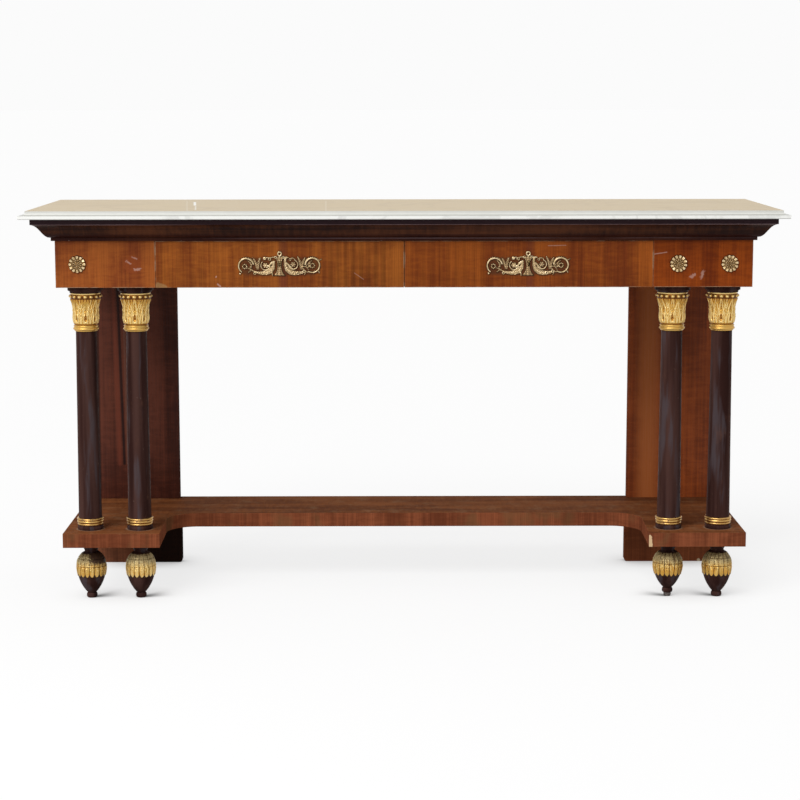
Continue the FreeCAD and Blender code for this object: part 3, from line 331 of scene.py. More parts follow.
def add_floor():
    """A pale floor that keeps the contact shade round the feet, with painted shadows beside the toes, but
    shows nearly white.
    """
    finish = Finish("pale_floor")
    finish.tree.nodes.clear()
    unshaded = 1.0
    # Painted shadows beside the toes darken the floor's colour and glow.
    for column in COLUMN_NAMES:
        cast = finish.times(toe_shade(finish, middle_of("foot_" + column)), TOE_SHADE_DEPTH)
        unshaded = finish.times(finish.minus(1.0, cast), unshaded)
    seen = finish.seen()
    shade = finish.times(finish.level(seen, 0, 1, FLOOR_BOUNCE, FLOOR_SEEN), unshaded)
    openness = finish.node("AmbientOcclusion", {"Distance": CONTACT_SHADE_REACH}).outputs["AO"]
    lit = finish.times(seen, finish.times(openness, unshaded))
    surface = finish.node("MixShader", {
        0: finish.times(lit, FLOOR_GLOW),
        1: finish.node("BsdfDiffuse", {"Color": shade}).outputs["BSDF"],
        2: finish.node("Emission").outputs["Emission"],
    })
    finish.node("OutputMaterial", {"Surface": surface.outputs["Shader"]})

    half = FLOOR_SIZE / 2
    mesh = bpy.data.meshes.new("floor")
    mesh.from_pydata(
        [(-half, -half, 0), (half, -half, 0), (half, half, 0), (-half, half, 0)], [], [(0, 1, 2, 3)]
    )
    mesh.materials.append(finish.material)
    floor = placed("floor", mesh)


# --- Wood ---

def wood_figure(finish, grain, light, dark, ribbon, shift=(0, 0, 0)):
    """Mahogany: soft ribbons, broad cloud, a cross mottle, streaks and pores along the grain."""
    cloudy = tuple(g ** 0.45 for g in grain)
    across = tuple(1 if g < 1 else 0.22 for g in grain)
    fine = tuple(g * g if g < 1 else 1 for g in grain)
    fibrous = tuple(min(1, g * 8) for g in fine)
    # Each layer: stretch, scale, detail, roughness, distortion, then the levels that map it to tone.
    layers = (
        (grain, ribbon, 2.5, 0.55, 0.25, 0.30, 0.70, 0.0, 0.30),
        (cloudy, 9, 3.0, 0.6, 0.6, 0.28, 0.72, 0.0, 0.62),
        (across, 95, 3.0, 0.6, 0.8, 0.3, 0.7, -0.12, 0.12),
        (fine, 170, 3.0, 0.6, 0.0, 0.3, 0.7, -0.12, 0.12),
    )
    tone = 0.0
    for stretch, scale, detail, roughness, distortion, *levels in layers:
        layer = finish.noise(finish.place(stretch, shift), scale, detail, roughness, distortion)
        tone = finish.plus(tone, finish.level(layer, *levels))
    fibre = finish.noise(finish.place(fibrous, shift), 420, 5.0, 0.6)
    pores = finish.level(finish.noise(finish.place(fine, shift), 900, 2.0), 0.66, 0.74)
    colour = finish.mix(finish.level(tone, 0.0, 0.92), dark, light)
    colour = finish.scaled(colour, finish.level(fibre, 0.3, 0.75, 0.80, 1.10))
    return finish.over(colour, dark, pores, 0.55), fibre


def mahogany(name, grain, light, dark, ribbon, roughness=0.40, specular=0.06, shift=(0, 0, 0)):
    """Polished mahogany, dull on its end faces; also gives the colour, to lay marks over it."""
    finish = Finish(name, roughness, 0.0, specular)
    colour, fibre = wood_figure(finish, grain, light, dark, ribbon, shift)
    finish.colour(colour)
    finish.bump(fibre, 0.06 * MM, 0.5)
    gloss = finish.level(fibre, 0.2, 0.8, roughness + 0.08, roughness - 0.04)
    finish.roughness(finish.math("MAXIMUM", gloss, finish.level(finish.facing("X"), 0.6, 0.9)))
    return finish, colour


def worn(finish, colour, bare, amount):
    """Arrises rubbed through to the bare wood in a broken line."""
    arrises = finish.level(finish.edges(2.5 * MM), 0.05, 0.3)
    return finish.over(colour, bare, finish.times(arrises, finish.patches(60, 0.48, 0.72, 4.0, 0.65)), amount)


LEFT_DRAWER_WOOD = ((0.41, 0.118, 0.018), (0.20, 0.044, 0.009))
RIGHT_DRAWER_WOOD = ((0.385, 0.096, 0.014), (0.19, 0.038, 0.008))
LEFT_BLOCK_WOOD = ((0.40, 0.108, 0.021), (0.20, 0.042, 0.011))
RIGHT_BLOCK_WOOD = ((0.33, 0.064, 0.007), (0.15, 0.024, 0.004))
BARE_WOOD = (0.55, 0.34, 0.17)
SCUFF = (0.58, 0.36, 0.30)
DARK_STAIN = (0.13, 0.030, 0.018)
# Darker round each drawer's mount.
DARK_ROUND_MOUNT = (0.085, 0.034, 0.015)
GHOST = (0.27, 0.060, 0.016)
PATCH = (0.36, 0.22, 0.09)
RUBBED_RIM = (0.46, 0.29, 0.18)


def on_frieze(across, up):
    """A point on the frieze's front, in millimetres from its middle."""
    return (across * MM, FRIEZE_PLANE, FRIEZE_LEVEL + up * MM)


def frieze_marks(*marks):
    """Marks on the frieze: ends, radius, raggedness, softness, tint and strength."""
    return [
        (on_frieze(*start), on_frieze(*end), radius * MM, ragged * MM, softness, tint, strength)
        for start, end, radius, ragged, softness, tint, strength in marks
    ]


LEFT_BLOCK_MARKS = frieze_marks(
    ((-611.6, -0.5), (-611.6, 0.5), 21, 3, 0.86, GHOST, 0.55),
    ((-624, 8), (-616, 2), 3.0, 9, 0.3, SCUFF, 0.50),
    ((-606, -12), (-594, -10), 4.0, 12, 0.3, SCUFF, 0.55),
    ((-612, 17), (-602, 12), 2.4, 8, 0.3, SCUFF, 0.45),
)
RIGHT_BLOCK_MARKS = frieze_marks(
    ((645, -31), (654, -24), 4.6, 12, 0.3, SCUFF, 0.50),
    ((669, -31), (673, -17), 4.2, 11, 0.3, SCUFF, 0.50),
    ((563, 22), (590, 26), 1.6, 1.5, 0.4, SCUFF, 0.5),
)
LEFT_DRAWER_MARKS = frieze_marks(
    ((-273, -53), (-273, 53), 14, 6, 0.25, DARK_STAIN, 0.55),
    ((-352, -5), (-208, -5), 24, 7, 0.66, DARK_ROUND_MOUNT, 0.70),
    ((-554, -47), (-540, -52), 8, 5, 0.6, PATCH, 0.55),
    ((-420, -45), (-414, -50), 2.2, 3, 0.5, SCUFF, 0.6),
    ((-424, -29), (-423, -27), 1.8, 2, 0.5, SCUFF, 0.6),
    ((-112, -20), (-92, -34), 1.1, 1, 0.4, SCUFF, 0.35),
)
RIGHT_DRAWER_MARKS = frieze_marks(
    ((283, -53), (283, 53), 12, 6, 0.25, DARK_STAIN, 0.45),
    ((205, -5), (352, -5), 24, 7, 0.66, DARK_ROUND_MOUNT, 0.70),
    ((323, 41), (363, 42), 1.3, 1, 0.4, SCUFF, 0.5),
)

BOARD_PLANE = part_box("rear_board_left")[0].y


def on_board(across, height):
    """A point on the plane of the rear boards' fronts, in millimetres."""
    return (across * MM, BOARD_PLANE, height * MM)


# Painted reflections, shadows and highlights on the rear boards, as marks: ends, radius, raggedness,
# softness, tint and strength.
LEFT_BOARD_COLUMN_REFLECTIONS = (
    (on_board(-712, 700), on_board(-702, 250), 9 * MM, 0.0, 0.1, (0.165, 0.040, 0.022), 0.6),
    (on_board(-701, 716), on_board(-691, 250), 5.5 * MM, 0.0, 0.2, (0.012, 0.006, 0.006), 0.85),
    (on_board(-687, 716), on_board(-684, 250), 3.4 * MM, 0.0, 0.2, (0.135, 0.060, 0.042), 0.7),
    (on_board(-750, 716), on_board(-752, 210), 4 * MM, 0.0, 0.2, (0.020, 0.008, 0.006), 0.7),
)
# A painted highlight down the right board beside the inner column.
SHINE_ACROSS = 605 * MM
RIGHT_BOARD_PAINTED_SHINE = ((
    (SHINE_ACROSS, BOARD_PLANE, SHELF_HIGH.z), (SHINE_ACROSS, BOARD_PLANE, FRIEZE_LOW.z),
    42 * MM, 10 * MM, 0.1, (0.36, 0.105, 0.030), 1.0,
),)
# Where painted shade darkens the left foot block, across the table.
LEFT_BLOCK_SHADE = (-665 * MM, -635 * MM)
RIGHT_BLOCK_CHIP = on_board(738, 3)


def left_foot_block_finish():
    """Brown between the feet, and painted shade makes it nearly black towards the middle of the table."""
    finish, colour = mahogany(
        "left_foot_block_mahogany", Z_GRAIN, (0.30, 0.105, 0.050), (0.145, 0.052, 0.027), 26.0, 0.45, 0.02
    )
    # Painted shade towards the middle of the table.
    inner = finish.level(finish.part_of("X"), *LEFT_BLOCK_SHADE)
    finish.colour(finish.over(colour, (0.011, 0.007, 0.006), inner, 0.92))
    return finish.material


def right_foot_block_finish():
    """Warm brown with a small chip at the floor."""
    finish, colour = mahogany(
        "right_foot_block_mahogany", Z_GRAIN, (0.50, 0.150, 0.058), (0.27, 0.080, 0.034), 26.0, 0.45, 0.02
    )
    chip = finish.near(RIGHT_BLOCK_CHIP, 4.5 * MM, 2 * MM)
    finish.colour(finish.over(colour, (0.95, 0.76, 0.50), chip))
    return finish.material


def left_board_finish():
    """Nearly black, darkened as painted shade, with painted reflections and shadows of the columns as brown
    and black bands down it.
    """
    finish, colour = mahogany(
        "left_board_mahogany", Z_GRAIN, (0.132, 0.037, 0.021), (0.050, 0.014, 0.009), 26.0, 0.26, 0.1
    )
    finish.colour(finish.marked(colour, LEFT_BOARD_COLUMN_REFLECTIONS, 40.0))
    return finish.material


def right_board_finish():
    """Warm brown, with a painted highlight down the stretch beside the inner column."""
    finish, colour = mahogany(
        "right_board_mahogany", Z_GRAIN, (0.34, 0.078, 0.020), (0.16, 0.034, 0.011), 26.0, 0.26, 0.1
    )
    finish.colour(finish.marked(colour, RIGHT_BOARD_PAINTED_SHINE, 40.0))
    return finish.material


def rubbed_rim(finish, node, reach):
    """1 in a broken line along the edges of the node's front, 0 away from them."""
    low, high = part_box(node)
    nearest = 1.0
    for place, start, end in ((finish.part_of("X"), low.x, high.x), (finish.height(), low.z, high.z)):
        nearest = finish.math("MINIMUM", nearest, finish.minus(place, start))
        nearest = finish.math("MINIMUM", nearest, finish.minus(end, place))
    broken = finish.patches(34, 0.42, 0.62, 4.0, 0.6, floor=0.15)
    return finish.times(finish.level(nearest, reach, reach * 0.5), broken)


def frieze_finish(name, node, wood, ribbon, shift, marks, rise=(1.0, 1.0), run=(1.0, 1.0), ribs=()):
    """A frieze front; rise and run say how bright it is from bottom to top and from left to right.

    ribs are stretches of fine upright stripes: both ends, pitch and strength.
    """
    finish, colour = mahogany(name, Z_GRAIN, *wood, ribbon, 0.38, 0.07, shift)
    low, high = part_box(node)
    across = finish.part_of("X")
    tone = finish.times(
        finish.level(finish.height(), low.z, high.z, *rise), finish.level(across, low.x, high.x, *run)
    )
    for start, end, pitch, strength in ribs:
        wave = finish.math("SINE", finish.times(across, math.tau / pitch))
        reach = finish.times(
            finish.level(across, start, start + pitch), finish.level(across, end, end - pitch)
        )
        tone = finish.minus(tone, finish.times(finish.level(wave, -1.0, 1.0, 0.0, strength), reach))
    colour = finish.marked(finish.scaled(colour, tone), marks, 260.0)
    finish.colour(finish.over(colour, RUBBED_RIM, rubbed_rim(finish, node, 2.0 * MM), 0.72))
    return finish.material


PIER_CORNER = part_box("end_block_right")[0].x
CHIPPED_WOOD = (0.72, 0.50, 0.29)
SHELF_CHIP = ((
    (PIER_CORNER + 2 * MM, SHELF_LOW.y, SHELF_LOW.z + 3 * MM),
    (PIER_CORNER, SHELF_LOW.y, SHELF_LOW.z + 22 * MM),
    6.5 * MM, 4 * MM, 0.8, CHIPPED_WOOD, 1.0,
),)
SHELF_STAIN = (0.155, 0.085, 0.036)
SHELF_DUST = (0.26, 0.155, 0.085)
SHELF_RING = (0.36, 0.25, 0.17)


def shelf_finish():
    """Crossbanded edges; the top has its grain lengthwise, dust and a pale ring round each column."""
    finish = Finish("shelf_mahogany", 0.5, 0.0, 0.015)
    edge_colour, fibre = wood_figure(finish, Z_GRAIN, (0.285, 0.084, 0.036), (0.150, 0.041, 0.018), 55.0)
    top_colour, _ = wood_figure(finish, X_GRAIN, (0.225, 0.076, 0.026), (0.105, 0.033, 0.012), 30.0)
    lies_flat = finish.level(finish.facing("Z"), 0.5, 0.9)
    stain = finish.patches(13, 0.52, 0.66, 3.0, 0.55, (1, 1, 0.6), ceiling=0.45)
    dust = finish.patches(26, 0.48, 0.75, 5.0, 0.65, ceiling=0.30)
    colour = finish.mix(lies_flat, edge_colour, top_colour)
    colour = finish.over(colour, SHELF_STAIN, stain, finish.minus(1.0, lies_flat))
    colour = finish.over(colour, SHELF_DUST, dust, lies_flat)
    for column in COLUMN_NAMES:
        axis = middle_of("shaft_" + column)
        ring = finish.near((axis.x, axis.y, SHELF_HIGH.z), 36 * MM, 5 * MM, 120.0)
        colour = finish.over(colour, SHELF_RING, finish.times(ring, lies_flat), 0.5)
    finish.colour(finish.marked(worn(finish, colour, BARE_WOOD, 0.7), SHELF_CHIP, 240.0))
    finish.roughness(finish.math(
        "MAXIMUM", finish.level(finish.facing("X"), 0.3, 0.8, 0.5, 1.0),
        finish.level(lies_flat, 0.0, 1.0, 0.5, 0.72),
    ))
    finish.bump(fibre, 0.05 * MM, 0.5)
    return finish.material


CORNICE_FILLET_FOOT = CORNICE_HIGH.z - 13.0 * MM
CORNICE_CONVEX_TOP = CORNICE_LOW.z + 15.0 * MM
# Arrises of the cornice, the upper one rubbed pale and the lower one on the lip a painted highlight: height,
# reach and strength.
CORNICE_ARRISES = (
    (CORNICE_FILLET_FOOT, 1.3 * MM, 0.75),
    (CORNICE_LOW.z + 5.5 * MM, 1.6 * MM, 0.34),
)
CORNICE_BLACK = (0.030, 0.014, 0.017)
CORNICE_PAINTED_SHADE = (0.030, 0.006, 0.005)
CORNICE_RUB_AND_SHEEN = (0.30, 0.21, 0.22)
CORNICE_NICK = (0.45, 0.36, 0.33)


def cornice_finish(name, grain):
    """Dark stained moulding with a blackened fillet at its top, painted shade over its lower convex part, a
    rubbed line and a painted highlight along two arrises, and nicks along the arrises.
    """
    finish = Finish(name, 0.38, 0.0, 0.06)
    colour, fibre = wood_figure(finish, grain, (0.120, 0.038, 0.015), (0.020, 0.006, 0.004), 40.0)
    height = finish.height()
    fillet = finish.level(height, CORNICE_FILLET_FOOT - 0.6 * MM, CORNICE_FILLET_FOOT + 0.6 * MM)
    # Painted shade over the lower, downward-facing convex part.
    convex_shade = finish.level(height, CORNICE_CONVEX_TOP + 2 * MM, CORNICE_CONVEX_TOP - 2 * MM)
    colour = finish.over(colour, CORNICE_BLACK, fillet)
    colour = finish.over(colour, CORNICE_PAINTED_SHADE, convex_shade, 0.6)
    rub_and_sheen_breaks = finish.patches(16, 0.46, 0.60, 5.0, 0.65, grain)
    for level, reach, strength in CORNICE_ARRISES:
        line = finish.times(finish.level(finish.apart(height, level), reach, reach * 0.4), rub_and_sheen_breaks)
        colour = finish.over(colour, CORNICE_RUB_AND_SHEEN, line, strength)
    nicks = finish.times(
        finish.level(finish.edges(2.5 * MM), 0.05, 0.2), finish.patches(75, 0.68, 0.71, 3.0, 0.6)
    )
    finish.colour(finish.over(colour, CORNICE_NICK, nicks))
    finish.bump(fibre, 0.05 * MM, 0.5)
    return finish.material


# What wears an ebonised surface: noise scale, levels, detail, roughness, stretch, tint and strength.
EBONY_WEAR = (
    (38, 0.56, 0.78, 5.0, 0.7, (1, 1, 0.35), (0.115, 0.052, 0.034), 0.6),
    (160, 0.68, 0.74, 4.0, 0.7, (1, 1, 0.5), (0.20, 0.13, 0.10), 0.7),
)


def ebonised_finish():
    """Black-stained wood with a grey bloom that also stands in as a painted sheen, rubbed brown in places,
    scuffed and scratched.
    """
    finish = Finish("ebonised", 0.42, 0.0, 0.012)
    stain = finish.patches(44, 0.32, 0.68, 3.0, 0.5, Z_GRAIN)
    colour = finish.mix(stain, (0.030, 0.012, 0.010), (0.072, 0.034, 0.028))
    # Grey bloom in upright streaks, partly real bloom and partly a painted sheen in place of highlights.
    bloom_and_sheen = finish.noise(finish.place((1, 1, 0.10), (2, 0, 0)), 52, 3.0, 0.55)
    colour = finish.over(colour, (0.075, 0.058, 0.064), finish.level(bloom_and_sheen, 0.50, 0.66), 0.75)
    for *patches, tint, strength in EBONY_WEAR:
        colour = finish.over(colour, tint, finish.patches(*patches), strength)
    finish.colour(worn(finish, colour, (0.16, 0.085, 0.055), 0.8))
    finish.roughness(finish.patches(55, 0.3, 0.7, 3.0, 0.5, PLAIN, 0.34, 0.52))
    finish.bump(finish.noise(finish.place((1, 1, 0.08)), 260), 0.05 * MM, 0.6)
    return finish.material


def softwood_finish(name, grain):
    finish = Finish(name, 0.6, 0.0, 0.25)
    colour, fibre = wood_figure(finish, grain, (0.52, 0.35, 0.18), (0.30, 0.17, 0.075), 26.0)
    finish.colour(finish.over(colour, (0.24, 0.14, 0.07), finish.noise(finish.place(), 9, 4.0)))
    finish.bump(fibre, 0.15 * MM, 0.6)
    return finish.material


# --- Gilding, metal and marble ---

LEAF = (0.64, 0.325, 0.050)
LEAF_THIN = (0.53, 0.33, 0.080)
LEAF_BURNISHED = (0.84, 0.61, 0.25)
LEAF_SHADED = (0.38, 0.165, 0.030)
CLAY = (0.115, 0.042, 0.012)
LEAF_METAL = 0.62
AGED_METAL = 0.30


def gilding_finish(name, aged_from=None):
    """Worn leaf over red clay: the attributes say where leaf lies and how proud the carving is.

    aged_from gives two heights between which the leaf turns dull and grey.
    """
    finish = Finish(name, 0.36, 1.0, 0.06)
    depth = finish.attribute("depth")
    patch = finish.noise(finish.place(), 70, 4.0, 0.6)
    speckle = finish.noise(finish.place(), 420, 4.0, 0.65)
    gold = finish.mix(finish.level(patch, 0.3, 0.7), LEAF, LEAF_THIN)
    # Towards the hollows the leaf is painted darker, first as shade (LEAF_SHADED), then as the red clay
    # showing in the deepest.
    hollow = finish.mix(finish.level(depth, 0.0, 0.34), CLAY, LEAF_SHADED)
    gold = finish.mix(finish.level(depth, 0.30, 0.58), hollow, gold)
    gold = finish.mix(finish.level(depth, 0.66, 0.95), gold, LEAF_BURNISHED)
    metal = LEAF_METAL
    if aged_from:
        aged = finish.level(finish.height(), *aged_from)
        grey = finish.mix(finish.level(depth, 0.15, 0.7), (0.060, 0.045, 0.025), (0.40, 0.34, 0.19))
        gold = finish.over(gold, grey, aged, 0.75)
        metal = finish.level(aged, 0.0, 1.0, LEAF_METAL, AGED_METAL)
    cover = finish.plus(finish.attribute("leaf"), finish.level(speckle, 0.3, 0.7, -0.22, 0.22))
    gilded = finish.level(cover, 0.35, 0.55)
    bare = finish.mix(finish.noise(finish.place(), 120), (0.035, 0.017, 0.011), (0.080, 0.042, 0.026))
    finish.colour(finish.mix(gilded, bare, gold))
    finish.metallic(finish.times(gilded, metal))
    finish.roughness(finish.level(patch, 0.3, 0.7, 0.28, 0.44))
    finish.bump(speckle, 0.12 * MM, 0.7)
    return finish.material


def ring_finish():
    """Burnished leaf on the turned base rings, browner where it has rubbed through."""
    finish = Finish("burnished_gilding", 0.3, 1.0, 0.5)
    patch = finish.noise(finish.place((1, 1, 2)), 80, 4.0, 0.65)
    rubbed = finish.level(patch, 0.56, 0.68)
    gold = finish.mix(finish.noise(finish.place(), 300), (0.60, 0.36, 0.12), (0.45, 0.27, 0.08))
    finish.colour(finish.mix(rubbed, gold, (0.22, 0.11, 0.05)))
    finish.metallic(finish.minus(1.0, rubbed))
    finish.roughness(finish.level(patch, 0.3, 0.7, 0.24, 0.42))
    finish.bump(patch, 0.15 * MM, 0.6)
    return finish.material


def bronze_finish():
    """Gilt bronze, pale on the raised parts and brown in the hollows."""
    finish = Finish("gilt_bronze", 0.34, 1.0, 0.5)
    depth = finish.attribute("depth")
    patch = finish.noise(finish.place(), 220, 4.0, 0.6)
    bright = finish.mix(finish.level(patch, 0.35, 0.65), (0.76, 0.60, 0.37), (0.46, 0.33, 0.16))
    tone = finish.mix(finish.level(depth, 0.30, 0.72), (0.060, 0.034, 0.016), (0.32, 0.21, 0.105))
    finish.colour(finish.mix(finish.level(depth, 0.66, 0.96), tone, bright))
    finish.roughness(finish.level(patch, 0.3, 0.7, 0.26, 0.44))
    finish.bump(finish.noise(finish.place(), 700), 0.08 * MM, 0.7)
    return finish.material


BRASS = ((0.72, 0.52, 0.22), (0.34, 0.22, 0.08))
STEEL = ((0.42, 0.41, 0.40), (0.16, 0.13, 0.11))
IRON = ((0.17, 0.15, 0.14), (0.06, 0.045, 0.04))


def metal_finish(name, light, dark, roughness):
    """Cast or filed metal of the locks and the glide."""
    finish = Finish(name, roughness, 1.0, 0.5)
    patch = finish.noise(finish.place(), 240, 5.0, 0.65)
    finish.colour(finish.mix(finish.level(patch, 0.35, 0.65), dark, light))
    finish.roughness(finish.level(patch, 0.3, 0.7, roughness + 0.15, roughness - 0.06))
    finish.bump(finish.noise(finish.place((1, 1, 0.1)), 900, 2.0), 0.03 * MM, 0.6)
    return finish.material


TOP_MARK = (0.88, 0.87, 0.83)
TOP_MARKS = [
    ((*start, MARBLE_HIGH.z), (*end, MARBLE_HIGH.z), radius * MM, 2 * MM, 0.4, TOP_MARK, strength)
    for start, end, radius, strength in (
        ((-0.500, 0.140), (-0.486, -0.010), 4.2, 0.95),
        ((-0.482, -0.035), (-0.467, -0.203), 2.4, 0.50),
        ((-0.524, 0.195), (-0.482, -0.243), 1.4, 0.25),
        ((-0.187, 0.186), (-0.174, -0.250), 1.4, 0.25),
    )
]
QUIRK_SHADE = (0.30, 0.30, 0.27)
EDGE_VEIN = (0.50, 0.50, 0.48)
TOP_VEIN = (0.45, 0.36, 0.25)


def marble_finish():
    """White marble with faint veins, waxed yellow on the top face and greyer over its lower band."""
    finish = Finish("marble", 0.32, 0.0, 0.25)
    height = finish.height()
    drift = finish.noise(finish.place((0.6, 1, 1)), 5, 5.0, 0.6, 0.8)
    veins = finish.level(finish.apart(drift, 0.5), 0.0, 0.035, 1.0, 0.0)
    cloud = finish.noise(finish.place(), 22, 4.0, 0.55)
    edge = finish.mix(cloud, (0.95, 0.955, 0.91), (0.98, 0.98, 0.95))
    edge = finish.over(edge, EDGE_VEIN, veins, 0.3)
    above_band = finish.level(height, BAND_TOP - 0.6 * MM, BAND_TOP + 0.4 * MM)
    edge = finish.mix(above_band, edge, finish.mix(cloud, (0.65, 0.65, 0.61), (0.74, 0.74, 0.70)))
    quirk = finish.level(finish.apart(height, BAND_TOP + MM), 0.6 * MM, 1.5 * MM, 1.0, 0.0)
    edge = finish.over(edge, QUIRK_SHADE, quirk, 0.55)
    top = finish.mix(cloud, (0.56, 0.45, 0.29), (0.62, 0.51, 0.35))
    top = finish.marked(finish.over(top, TOP_VEIN, veins, 0.25), TOP_MARKS, 200.0)
    on_top = finish.times(
        finish.level(finish.facing("Z"), 0.85, 0.98),
        finish.level(height, MARBLE_HIGH.z - 2 * MM, MARBLE_HIGH.z - MM),
    )
    finish.colour(finish.mix(on_top, edge, top))
    finish.roughness(finish.plus(finish.level(cloud, 0.3, 0.7, 0.28, 0.36), finish.times(on_top, 0.2)))
    finish.bump(cloud, 0.05 * MM, 0.4)
    return finish.material


def paint(node, material):
    for material_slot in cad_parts[node].material_slots:
        material_slot.material = material


# --- Mesh building ---

def add_piece(name, vertices, faces, material, body, attributes, smooth_faces=None):
    """A mesh riding on a body; with smooth_faces given, only that many of the first faces are smooth."""
    mesh = bpy.data.meshes.new(name)
    mesh.from_pydata(vertices, [], faces)
    mesh.update()
    for attribute, values in attributes.items():
        mesh.attributes.new(attribute, "FLOAT", "POINT").data.foreach_set("value", values)
    mesh.shade_smooth()
    if smooth_faces is not None:
        mesh.polygons.foreach_set("use_smooth", [index < smooth_faces for index in range(len(faces))])
    piece = placed(name, mesh)
    mesh.materials.append(material)
    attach(piece, body)
    return piece


def ring_faces(rows, around, closed=True):
    """Quads between rows of points; a closed sweep also joins the last row to the first."""
    faces = []
    for row in range(rows if closed else rows - 1):
        above = (row + 1) % rows
        for step in range(around):
            after = (step + 1) % around
            faces.append((
                row * around + step, row * around + after, above * around + after, above * around + step
            ))
    return faces


def turned_outline(node):
    """Outer radius of a turned CAD node at each height, read as (height, radius) pairs from low to high."""
    centre = middle_of(node)
    widest = {}
    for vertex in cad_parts[node].data.vertices:
        height = round(vertex.co.z, 5)
        radius = math.hypot(vertex.co.x - centre.x, vertex.co.y - centre.y)
        widest[height] = max(widest.get(height, 0), radius)
    return sorted(widest.items())


def along(pairs, position):
    """The value at a position between listed pairs of position and value."""
    for (low, first), (high, second) in zip(pairs, pairs[1:]):
        if position <= high:
            share = (position - low) / (high - low) if high > low else 0
            return first + (second - first) * max(0, share)
    return pairs[-1][1]


def limited(value):
    return max(0.0, min(1.0, value))


def eased(value, low, high):
    """0 below low, 1 above high, and a smooth rise between them."""
    share = limited((value - low) / (high - low))
    return share * share * (3 - 2 * share)


def bell(value, width):
    """1 at 0 and nearly 0 two widths away from it."""
    return math.exp(-(value / width) ** 2)


def wobble(turn, rise, fineness, seed):
    """A smooth noise round a turned piece, mostly within 0.5 of 0."""
    return noise.noise(Vector((math.cos(turn) * fineness, math.sin(turn) * fineness, rise + seed)))


def from_middle(turn, count, offset=0.0):
    """Signed distance from the nearest of count axes round a circle, in steps between the axes."""
    return (turn * count / math.tau + offset + 0.5) % 1.0 - 0.5


BORE_LEAF = 0.5
BORE_DEPTH = 0.3


def carved_turning(name, node, skin, rows, around, bore, material):
    """A closed turned piece in place of a CAD node.

    skin(turn, level, height) gives the carving's height above the node's own outline, in metres,
    the share of leaf that covers it and how proud it stands, from 0 to 1.
    """
    centre = middle_of(node)
    low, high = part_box(node)
    outline = turned_outline(node)
    vertices, leaf, depth = [], [], []
    for row in range(rows + 1):
        share = row / rows
        level = low.z + (high.z - low.z) * share
        radius = along(outline, level)
        for step in range(around):
            turn = math.tau * step / around
            relief, cover, proud = skin(turn, share, level - low.z)
            reach = radius + relief
            vertices.append((centre.x + reach * math.cos(turn), centre.y + reach * math.sin(turn), level))
            leaf.append(cover)
            depth.append(proud)
    for level in (high.z, low.z):
        for step in range(around):
            turn = math.tau * step / around
            vertices.append((centre.x + bore * math.cos(turn), centre.y + bore * math.sin(turn), level))
            leaf.append(BORE_LEAF)
            depth.append(BORE_DEPTH)
    piece = add_piece(
        name, vertices, ring_faces(rows + 3, around), material, "root",
        {"leaf": leaf, "depth": depth},
    )
    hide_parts(node)


# --- Capitals ---

CAPITAL_LEAVES = 8
CAPITAL_CURLS = 16
CAPITAL_ROWS = 132
CAPITAL_STEPS = 416
CAPITAL_BORE = 12.8 * MM
LEAF_ZONE_LOW = 16.0 * MM
LEAF_ZONE_HIGH = 81.0 * MM
CAPITAL_FILLET = 84.2 * MM
CAPITAL_STEP_TOP = 13.0 * MM
CAPITAL_FLARE = 2.2
# How far each capital is turned about its column, in radians.
CAPITAL_TURNS = {"left_outer": 0.27, "left_inner": 0.37, "right_inner": -0.28, "right_outer": -0.16}
DROP_LEVEL = 0.20
DROP_HALF_WIDTH = 0.17
DROP_LOWER = 0.115
DROP_UPPER = 0.27
CURL_LEVEL = 0.975
CURL_SHADOW_LEVEL = 0.915
# Heights of the carving in millimetres.
LEAF_GROUND = 0.55
ARCH_PROUD = 1.05
BLADE_PROUD = 0.95
RIB_PROUD = 0.5
VEIN_PROUD = 0.34
FAN_PROUD = 0.55
FAN_SUNK = 0.15
VALLEY_SUNK = 0.7
DROP_RIM_PROUD = 1.3
DROP_SUNK = 1.7
CURL_PROUD = 2.6
CURL_SHADOW_SUNK = 0.9
CURL_GAP_SUNK = 0.8
CAPITAL_SUNK = 0.7
# Half widths of the arches and blades in leaf pitches, against the share of the leaves' height.
ARCH_LINE = ((0.0, 0.17), (0.12, 0.21), (0.3, 0.17), (0.42, 0.20), (0.62, 0.36), (0.78, 0.5), (1.0, 0.5))
BLADE_LINE = ((0.0, 0.02), (0.16, 0.06), (0.36, 0.17), (0.55, 0.27), (0.75, 0.40), (0.9, 0.5), (1.0, 0.5))


def drop_reach(across, climb):
    """Distance from the middle of a teardrop, 1 on its outline; it draws out to a point at the top."""
    above = climb - DROP_LEVEL
    if above < 0:
        return math.hypot(across / DROP_HALF_WIDTH, above / DROP_LOWER)
    return math.hypot(across / (DROP_HALF_WIDTH * max(0.25, 1 - above / 0.33)), above / DROP_UPPER)


def capital_leaves(front, behind, climb, ripple):
    """Height in mm of the carved leaves over their ground, without the curls at the top."""
    arch = bell(abs(behind) - along(ARCH_LINE, climb), 0.050)
    blade = bell(abs(front) - along(BLADE_LINE, climb), 0.042)
    rib = bell(front, 0.030) * (1 - eased(climb, 0.80, 0.9))
    vein = math.sin(math.tau * (climb * 10.0 - abs(front) * 5.0 + ripple))
    height = LEAF_GROUND + ARCH_PROUD * arch + BLADE_PROUD * blade + RIB_PROUD * rib
    height += VEIN_PROUD * vein * (1 - max(arch, blade))
    fan = math.sin(math.tau * (3.6 * abs(behind) + 1.4 * climb + ripple))
    height += (FAN_PROUD * fan - FAN_SUNK) * eased(climb, 0.36, 0.58)
    valley = bell(abs(front) - 0.5, 0.035) * eased(climb, 0.42, 0.55) * (1 - eased(climb, 0.70, 0.85))
    height -= VALLEY_SUNK * valley
    reach = drop_reach(behind, climb)
    height += DROP_RIM_PROUD * bell(reach - 1.12, 0.26) * (1 - eased(climb, 0.34, 0.46))
    return height - DROP_SUNK * bell(reach, 0.72)


